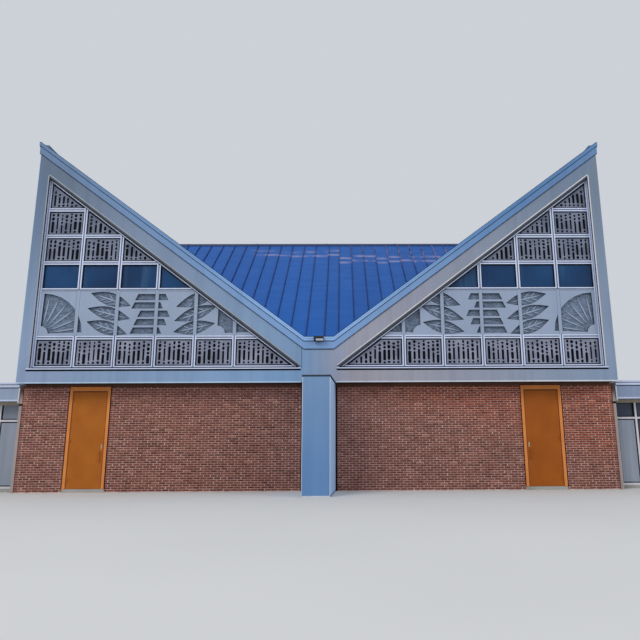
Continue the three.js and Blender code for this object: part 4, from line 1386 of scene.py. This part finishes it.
def pier_edge(y, side):
    """The place just off a pier's side face at a depth y."""
    depth = BRICK_FACE - FRAME_FACE + PIER["proud"]
    splay = (PIER["wall_half"] - PIER["front_half"]) / depth
    return (side * (PIER["front_half"] + splay * (y + PIER["proud"]) + HAIR), y)


def pier_trims(name, place):
    """Pale beads on the front corners, which also paint in the highlights along these edges, pale sheets on
    the sides as painted light, a foot strip, and dark joints at the wall as painted shade.
    """
    top, half = PIER["top"], PIER["front_half"]
    front, back = -PIER["proud"], BRICK_FACE - FRAME_FACE - PIER["back"]
    beads = draw(f"{name}_pier_beads", TRIM_AND_HIGHLIGHT_PAINT, place)
    lap = (half - PIER_BEAD["lap"], half + PIER_BEAD["proud"])
    beads.box(*lap, front - PIER_BEAD["proud"], front + PIER_BEAD["deep"], 0.0, top, BOTH)
    beads.box(-half, half, front - PIER_FOOT["proud"], front - HAIR, 0.0, PIER_FOOT["rise"])
    sheets = draw(f"{name}_pier_side_sheets", PIER_SIDE_LIGHT, place)
    for side in BOTH:
        ends = [pier_edge(y, side) for y in (front + PIER_SHEET["start"], back)]
        sheets.sheet(*ends, PIER_SHEET["thick"] * -side, PIER_SHEET["foot"], top - PIER_SHEET["head"])
    joint = draw(f"{name}_pier_joints", DARK_JOINT_AND_SHADE, place)
    deep = (back - PIER_SHADOW["proud"], back + PIER_SHADOW["deep"])
    joint.box(*PIER_JOINT, *deep, 0.0, SOFFIT - PIER_SHADOW["head"], BOTH)


# Wings

WING_EDGE = 0.03
WING_SLOT = HALF_WIDTH + 0.175
WING_WELL = {"wide": 0.2, "low": 3.2005, "high": 3.206}
WING_TRIM = {"lap": 0.012, "proud": 0.004, "deep": 0.02, "gap": 0.002, "head": 0.1}
# Strips round a wing's roof: how far each stands out, its bottom, its top and its thickness
COPING_STRIPS = [
    (0.04, wing_high.z - 0.05, wing_high.z + 0.004, 0.02),
    (0.036, wing_high.z - 0.135, wing_high.z - 0.07, 0.02),
    (0.008, wing_low.z, wing_low.z + 0.045, 0.02),
]
# Dark lines between and under the coping strips: painted shade
COPING_SHADE_LINES = [
    (0.0335, wing_high.z - 0.07, wing_high.z - 0.05, 0.012),
    (0.003, wing_high.z - 0.165, wing_high.z - 0.1455, 0.01),
]


def around_wing(heap, side, strips):
    """Strips round the outer edges of a wing's roof, those at its end only where they stay behind it."""
    for grow, z0, z1, thick in strips:
        far = min(wing_high.x - WING_EDGE + grow, wing_high.x - HAIR)
        front, back = wing_low.y + WING_EDGE - grow, wing_high.y - WING_EDGE + grow
        heap.box(WING_SLOT, far, front, front + thick, z0, z1, [side])
        heap.box(wing_low.x, far, back - thick, back, z0, z1, [side])
        if grow < WING_EDGE:
            heap.box(far - thick, far, front + thick, back - thick, z0, z1, [side])


def wing_trims(name, side):
    soffit, lap, deep, gap = wing_low.z, WING_TRIM["lap"], WING_TRIM["deep"], WING_TRIM["gap"]
    front, back = wing_low.y + WING_EDGE, wing_high.y - WING_EDGE
    around_wing(draw(f"{name}_wing_coping", COPING_PAINT), side, COPING_STRIPS)
    around_wing(draw(f"{name}_wing_lines", DARK_JOINT_AND_SHADE), side, COPING_SHADE_LINES)
    end = (WING_SLOT - lap, WING_SLOT + WING_EDGE, front - WING_TRIM["proud"], front + deep)
    draw(f"{name}_wing_fascia_end", WHITE_PAINT).box(*end, soffit - 0.06, wing_high.z - 0.15, [side])
    head = (HALF_WIDTH + WING_STUB + gap, WING_END - WING_WALL - gap, WING_FRONT - deep, WING_FRONT - HAIR)
    trim = draw(f"{name}_wing_head_trim", BEIGE_PAINT)
    trim.box(*head, soffit - WING_TRIM["head"], soffit - HAIR, [side])
    well = WING_WELL["wide"]
    plan = (wing_low.x + gap, wing_high.x - WING_EDGE - well, front + well, back - well)
    draw(f"{name}_wing_membrane", MEMBRANE).box(*plan, WING_WELL["low"], WING_WELL["high"], [side])


LIGHTS = {"bar": 0.06, "transom": 2.105, "floor": 0.1, "first": 0.63, "bays": 4}
SASH = {"width": 0.03, "face": 0.03, "back": 0.055}
WING_PANEL = (0.035, 0.05)
WING_BLIND = (0.05, 0.066)


def wing_lights(name, side):
    """Dark sashes in every light of the wing's glazing, and the plain panel under the first one."""
    place = wall(0, WING_FRONT, 0)
    bar, transom, first, bays = LIGHTS["bar"], LIGHTS["transom"], LIGHTS["first"], LIGHTS["bays"]
    near, far = HALF_WIDTH + WING_STUB, WING_END - WING_WALL
    step = (far - near - first - bar) / bays
    bars = [near] + [near + first + i * step for i in range(bays)] + [far - bar]
    rows = ((LIGHTS["floor"] + bar, transom), (transom + bar, wing_low.z - bar))
    sash, inset = draw(f"{name}_wing_sashes", DARK_JOINT_AND_SHADE, place), SASH["width"]
    for start, end in zip(bars, bars[1:]):
        across = sorted((side * (start + bar), side * end))
        for row in rows:
            sash.ring(rectangle(*across, *row), inset, SASH["face"], SASH["back"])
    across = (near + bar + inset, near + first - inset)
    lower, upper = ((low + inset, high - inset) for low, high in rows)
    draw(f"{name}_wing_side_panel", PANEL_GREY, place).box(*across, *WING_PANEL, *lower, [side])
    if side < 0:
        draw(f"{name}_wing_blind", BLIND_GREY, place).box(*across, *WING_BLIND, *upper, [side])


# Fittings

SPOUT = {"near": HALF_WIDTH + 0.015, "far": HALF_WIDTH + 0.1, "wrap": 0.004, "deep": 0.08}
SPOUT_RIBS = {
    "shares": (0.28, 0.72), "half": 0.007, "proud": 0.004, "sunk": 0.002, "foot": 0.06, "head": 0.03,
}
SPOUT_SLEEVES = {"lows": (1.05, 2.12, 3.1), "rise": 0.04, "proud": 0.006}
SPOUT_STRAP = {"low": 2.56, "high": 2.62, "proud": 0.008}


def downspout_details(name, side):
    """Folded ribs on the face and sleeves over the joints."""
    low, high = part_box(f"{name}_downspout")
    near, far, half = SPOUT["near"], SPOUT["far"], SPOUT_RIBS["half"]
    face, back, ribs = low.y, low.y + SPOUT["deep"], SPOUT_RIBS
    heap = draw(f"{name}_downspout_sleeves", SPOUT_PAINT)
    for share in ribs["shares"]:
        x = near + (far - near) * share
        deep = (face - ribs["proud"], face + ribs["sunk"])
        heap.box(x - half, x + half, *deep, ribs["foot"], high.z - ribs["head"], [side])
    across = (near - SPOUT["wrap"], far + SPOUT["wrap"])
    for z in SPOUT_SLEEVES["lows"]:
        heap.box(*across, face - SPOUT_SLEEVES["proud"], back, z, z + SPOUT_SLEEVES["rise"], [side])
    strap = draw(f"{name}_downspout_strap", DARK_JOINT_AND_SHADE)
    strap.box(*across, face - SPOUT_STRAP["proud"], back, SPOUT_STRAP["low"], SPOUT_STRAP["high"], [side])


FINS = {"count": 7, "half": 0.003, "inset": 0.03, "front": 0.02, "sunk": 0.001, "rise": 0.012}
VISOR = {"lip": 0.006, "deep": 0.004, "drop": 0.07}
LENS_SECTION = [(0.004, -0.006), (0.031, -0.06), (0.025, -0.063), (-0.002, -0.009)]
LENS_PLACE = {"left": 0.06, "right": 0.008, "drop": 0.066}


def floodlight_details():
    """Cooling fins and a visor on the housing, and a slim lens low on its slanted front."""
    low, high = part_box("floodlight")
    heap, inset, lip = draw("floodlight_visor", BLACK), FINS["inset"], VISOR["lip"]
    for n in range(FINS["count"]):
        x = low.x + inset + n * (high.x - low.x - 2 * inset) / (FINS["count"] - 1)
        across = (x - FINS["half"], x + FINS["half"])
        deep = (low.y + FINS["front"], high.y - inset)
        heap.box(*across, *deep, high.z - FINS["sunk"], high.z + FINS["rise"])
    visor = (low.y - lip, low.y + VISOR["deep"], high.z - VISOR["drop"], high.z + VISOR["deep"])
    heap.box(low.x - lip, high.x + lip, *visor)
    glow = draw("floodlight_lens", TRIM_AND_HIGHLIGHT_PAINT, slot="white_metal")
    ends = (low.x + LENS_PLACE["left"], high.x - LENS_PLACE["right"])
    glow.rail(LENS_SECTION, *ends, low.y, high.z - LENS_PLACE["drop"])


LEAF_FACE = BRICK_FACE - 0.003
LOCK = {"near": 0.045, "far": 0.085, "proud": 0.003, "low": 1.27, "high": 1.4}
LEAF_SHADE_STRIP = {"proud": 0.0015, "head": 0.024, "side": 0.01, "hinge": 0.012, "gap": 0.0003}
SEAL = {"half": 0.012, "deep": 0.02, "head": (0.008, 0.01)}


def door_details(name, side):
    """A lock plate on the leaf, a dark strip round the top and sides of the leaf that paints in the shadow
    of the frame, and a sealed joint between frame and bricks, dark partly as painted shade.
    """
    body = f"{name}_door"
    low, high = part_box(body)
    near, hinge = (high.x, low.x) if side < 0 else (low.x, high.x)
    across = (near + side * LOCK["near"], near + side * LOCK["far"])
    back, thick = LEAF_FACE - LEAF_SHADE_STRIP["gap"], LEAF_SHADE_STRIP["side"]
    lock = draw(f"{name}_door_lock", BEIGE_PAINT, body=body)
    lock.box(*across, LEAF_FACE - LOCK["proud"], back, LOCK["low"], LOCK["high"])
    strip = draw(f"{name}_door_weather_strip", LEAF_SHADE_BROWN, body=body)
    skin, inner = (LEAF_FACE - LEAF_SHADE_STRIP["proud"], back), sorted((near, hinge - side * LEAF_SHADE_STRIP["hinge"]))
    strip.box(*inner, *skin, high.z - LEAF_SHADE_STRIP["head"], high.z)
    for x in (inner[0], inner[1] - thick):
        strip.box(x, x + thick, *skin, low.z + thick, high.z - LEAF_SHADE_STRIP["head"] - HAIR)
    low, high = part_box(f"{name}_door_frame")
    seal, half, (under, over) = draw(f"{name}_door_seal", DARK_JOINT_AND_SHADE), SEAL["half"], SEAL["head"]
    reach = (low.y + SEAL["deep"], BRICK_FACE + SEAL["deep"])
    for x in (low.x, high.x):
        seal.box(x - half, x + half, *reach, low.z, high.z)
    seal.box(low.x + half, high.x - half, *reach, high.z - under, high.z + over)


# Finishes of the construction's own pieces

NODES = {
    MORTAR: "front_middle_brick back_brick front_{side}_brick {side}_brick "
            "{side}_door_lintel {side}_wing_walls",
    CONCRETE: "floor_slab",
    PIER_PAINT: "front_pier back_pier",
    FRAME_PAINT: "front_centre_panel back_upper_wall front_{side}_beam front_{side}_post {side}_upper_wall",
    CORNICE_BLUE: "front_cornice back_cornice {side}_cornice",
    BLACK: "floodlight",
    GLASS: "back_left_glass back_right_glass front_{side}_glass {side}_glass",
    ROOF_BLUE: "roof_front_slope roof_back_slope",
    SIDE_ROOF_BLUE: "roof_{side}_slope",
    RIDGE_PAINT: "ridge_cap",
    GROOVE_PAINT: "front_{side}_bars",
    CAST_SCREEN: "front_{side}_lower_screen front_{side}_upper_screen",
    GROUND: "front_{side}_relief",
    DOOR_FRAME: "{side}_door_frame",
    SPOUT_PAINT: "{side}_downspout",
    WING_PAINT: "{side}_wing_roof",
    WHITE_PAINT: "{side}_wing_window_frame",
    WING_GLASS: "{side}_wing_glass",
}


def wear_node(name, finish):
    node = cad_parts[name]
    if node.material_slots:
        for slot in node.material_slots:
            slot.material = finish.material
    else:
        node.data.materials.append(finish.material)


def finish_construction(side):
    for finish, names in NODES.items():
        for name in names.format(side=side).split():
            wear_node(name, finish)
    wear_node(f"{side}_door", DOORS[side])
    wear_node(f"front_{side}_rafter", RAFTER_PAINT_BY_LIGHT[side])


# Floor, light and camera

STUDIO_FLOOR = (-90, 90, -60, 120, -0.05, -0.001)


def pale_floor():
    finish = Finish("studio_floor", None, 0.1)
    base = finish.mix(finish.noise(0.2, 2.0), (214, 214, 212), (206, 206, 205))
    finish.wear({"Base Color": base, "Roughness": 0.9})
    heap = Heap()
    heap.box(*STUDIO_FLOOR)
    floor = placed("studio_floor", heap.mesh("studio_floor", STILL))
    floor.data.materials.append(finish.material)


def soft_light(name, place, power, tint):
    light = bpy.data.lights.new(name, "AREA")
    light.shape = "DISK"
    light.size = 24
    light.energy = power
    light.color = tint
    lamp = placed(name, light)
    lamp.location = place
    lamp.rotation_euler = (Vector((0, 0, 5)) - Vector(place)).to_track_quat("-Z", "Y").to_euler()


def lights():
    world = bpy.data.worlds.new("studio")
    world.use_nodes = True
    background = world.node_tree.nodes["Background"]
    background.inputs["Color"].default_value = colour((226, 230, 238))
    background.inputs["Strength"].default_value = 0.8
    bpy.context.scene.world = world
    soft_light("key", (-24, -40, 34), 9000, (1.0, 0.99, 0.97))
    soft_light("fill", (34, -30, 20), 4000, (0.97, 0.98, 1.0))


CAMERA = {"place": (0.732, -25.309, 1.327), "turn": -0.693, "rise": 12.075, "roll": -0.3065}
LENS = {"sensor_width": 36, "lens": 33.686, "shift_x": -0.0468, "shift_y": -0.00403, "clip_end": 400}


def camera():
    optics = bpy.data.cameras.new("camera")
    for setting, value in LENS.items():
        setattr(optics, setting, value)
    view = placed("camera", optics)
    turns = ((CAMERA["turn"], "Z"), (90 + CAMERA["rise"], "X"), (CAMERA["roll"], "Z"))
    turn, rise, roll = (Matrix.Rotation(math.radians(angle), 4, axis) for angle, axis in turns)
    view.matrix_world = Matrix.Translation(CAMERA["place"]) @ turn @ rise @ roll
    bpy.context.scene.camera = view


lay_hall_bricks()
dress_windows()
for name, place, side in (("front", FRONT, -1), ("back", BACK, 1)):
    cornice_trim(name, place, valley_line, CORNICE_BACK)
    main_seams(name, side)
    pier_trims(name, place)
valley_gutters()
ridge_laps()
frame_trims()
soffits()
for name, side in (("left", -1), ("right", 1)):
    finish_construction(name)
    cornice_trim(name, SIDES[name], side_line, 0.0)
    outer_seams(name, side)
    lay_wing_bricks(name, side)
    wing_trims(name, side)
    wing_lights(name, side)
    downspout_details(name, side)
    door_details(name, side)
floodlight_details()
make_drawn()
pale_floor()
lights()
camera()
bpy.context.scene.view_settings.view_transform = "Standard"
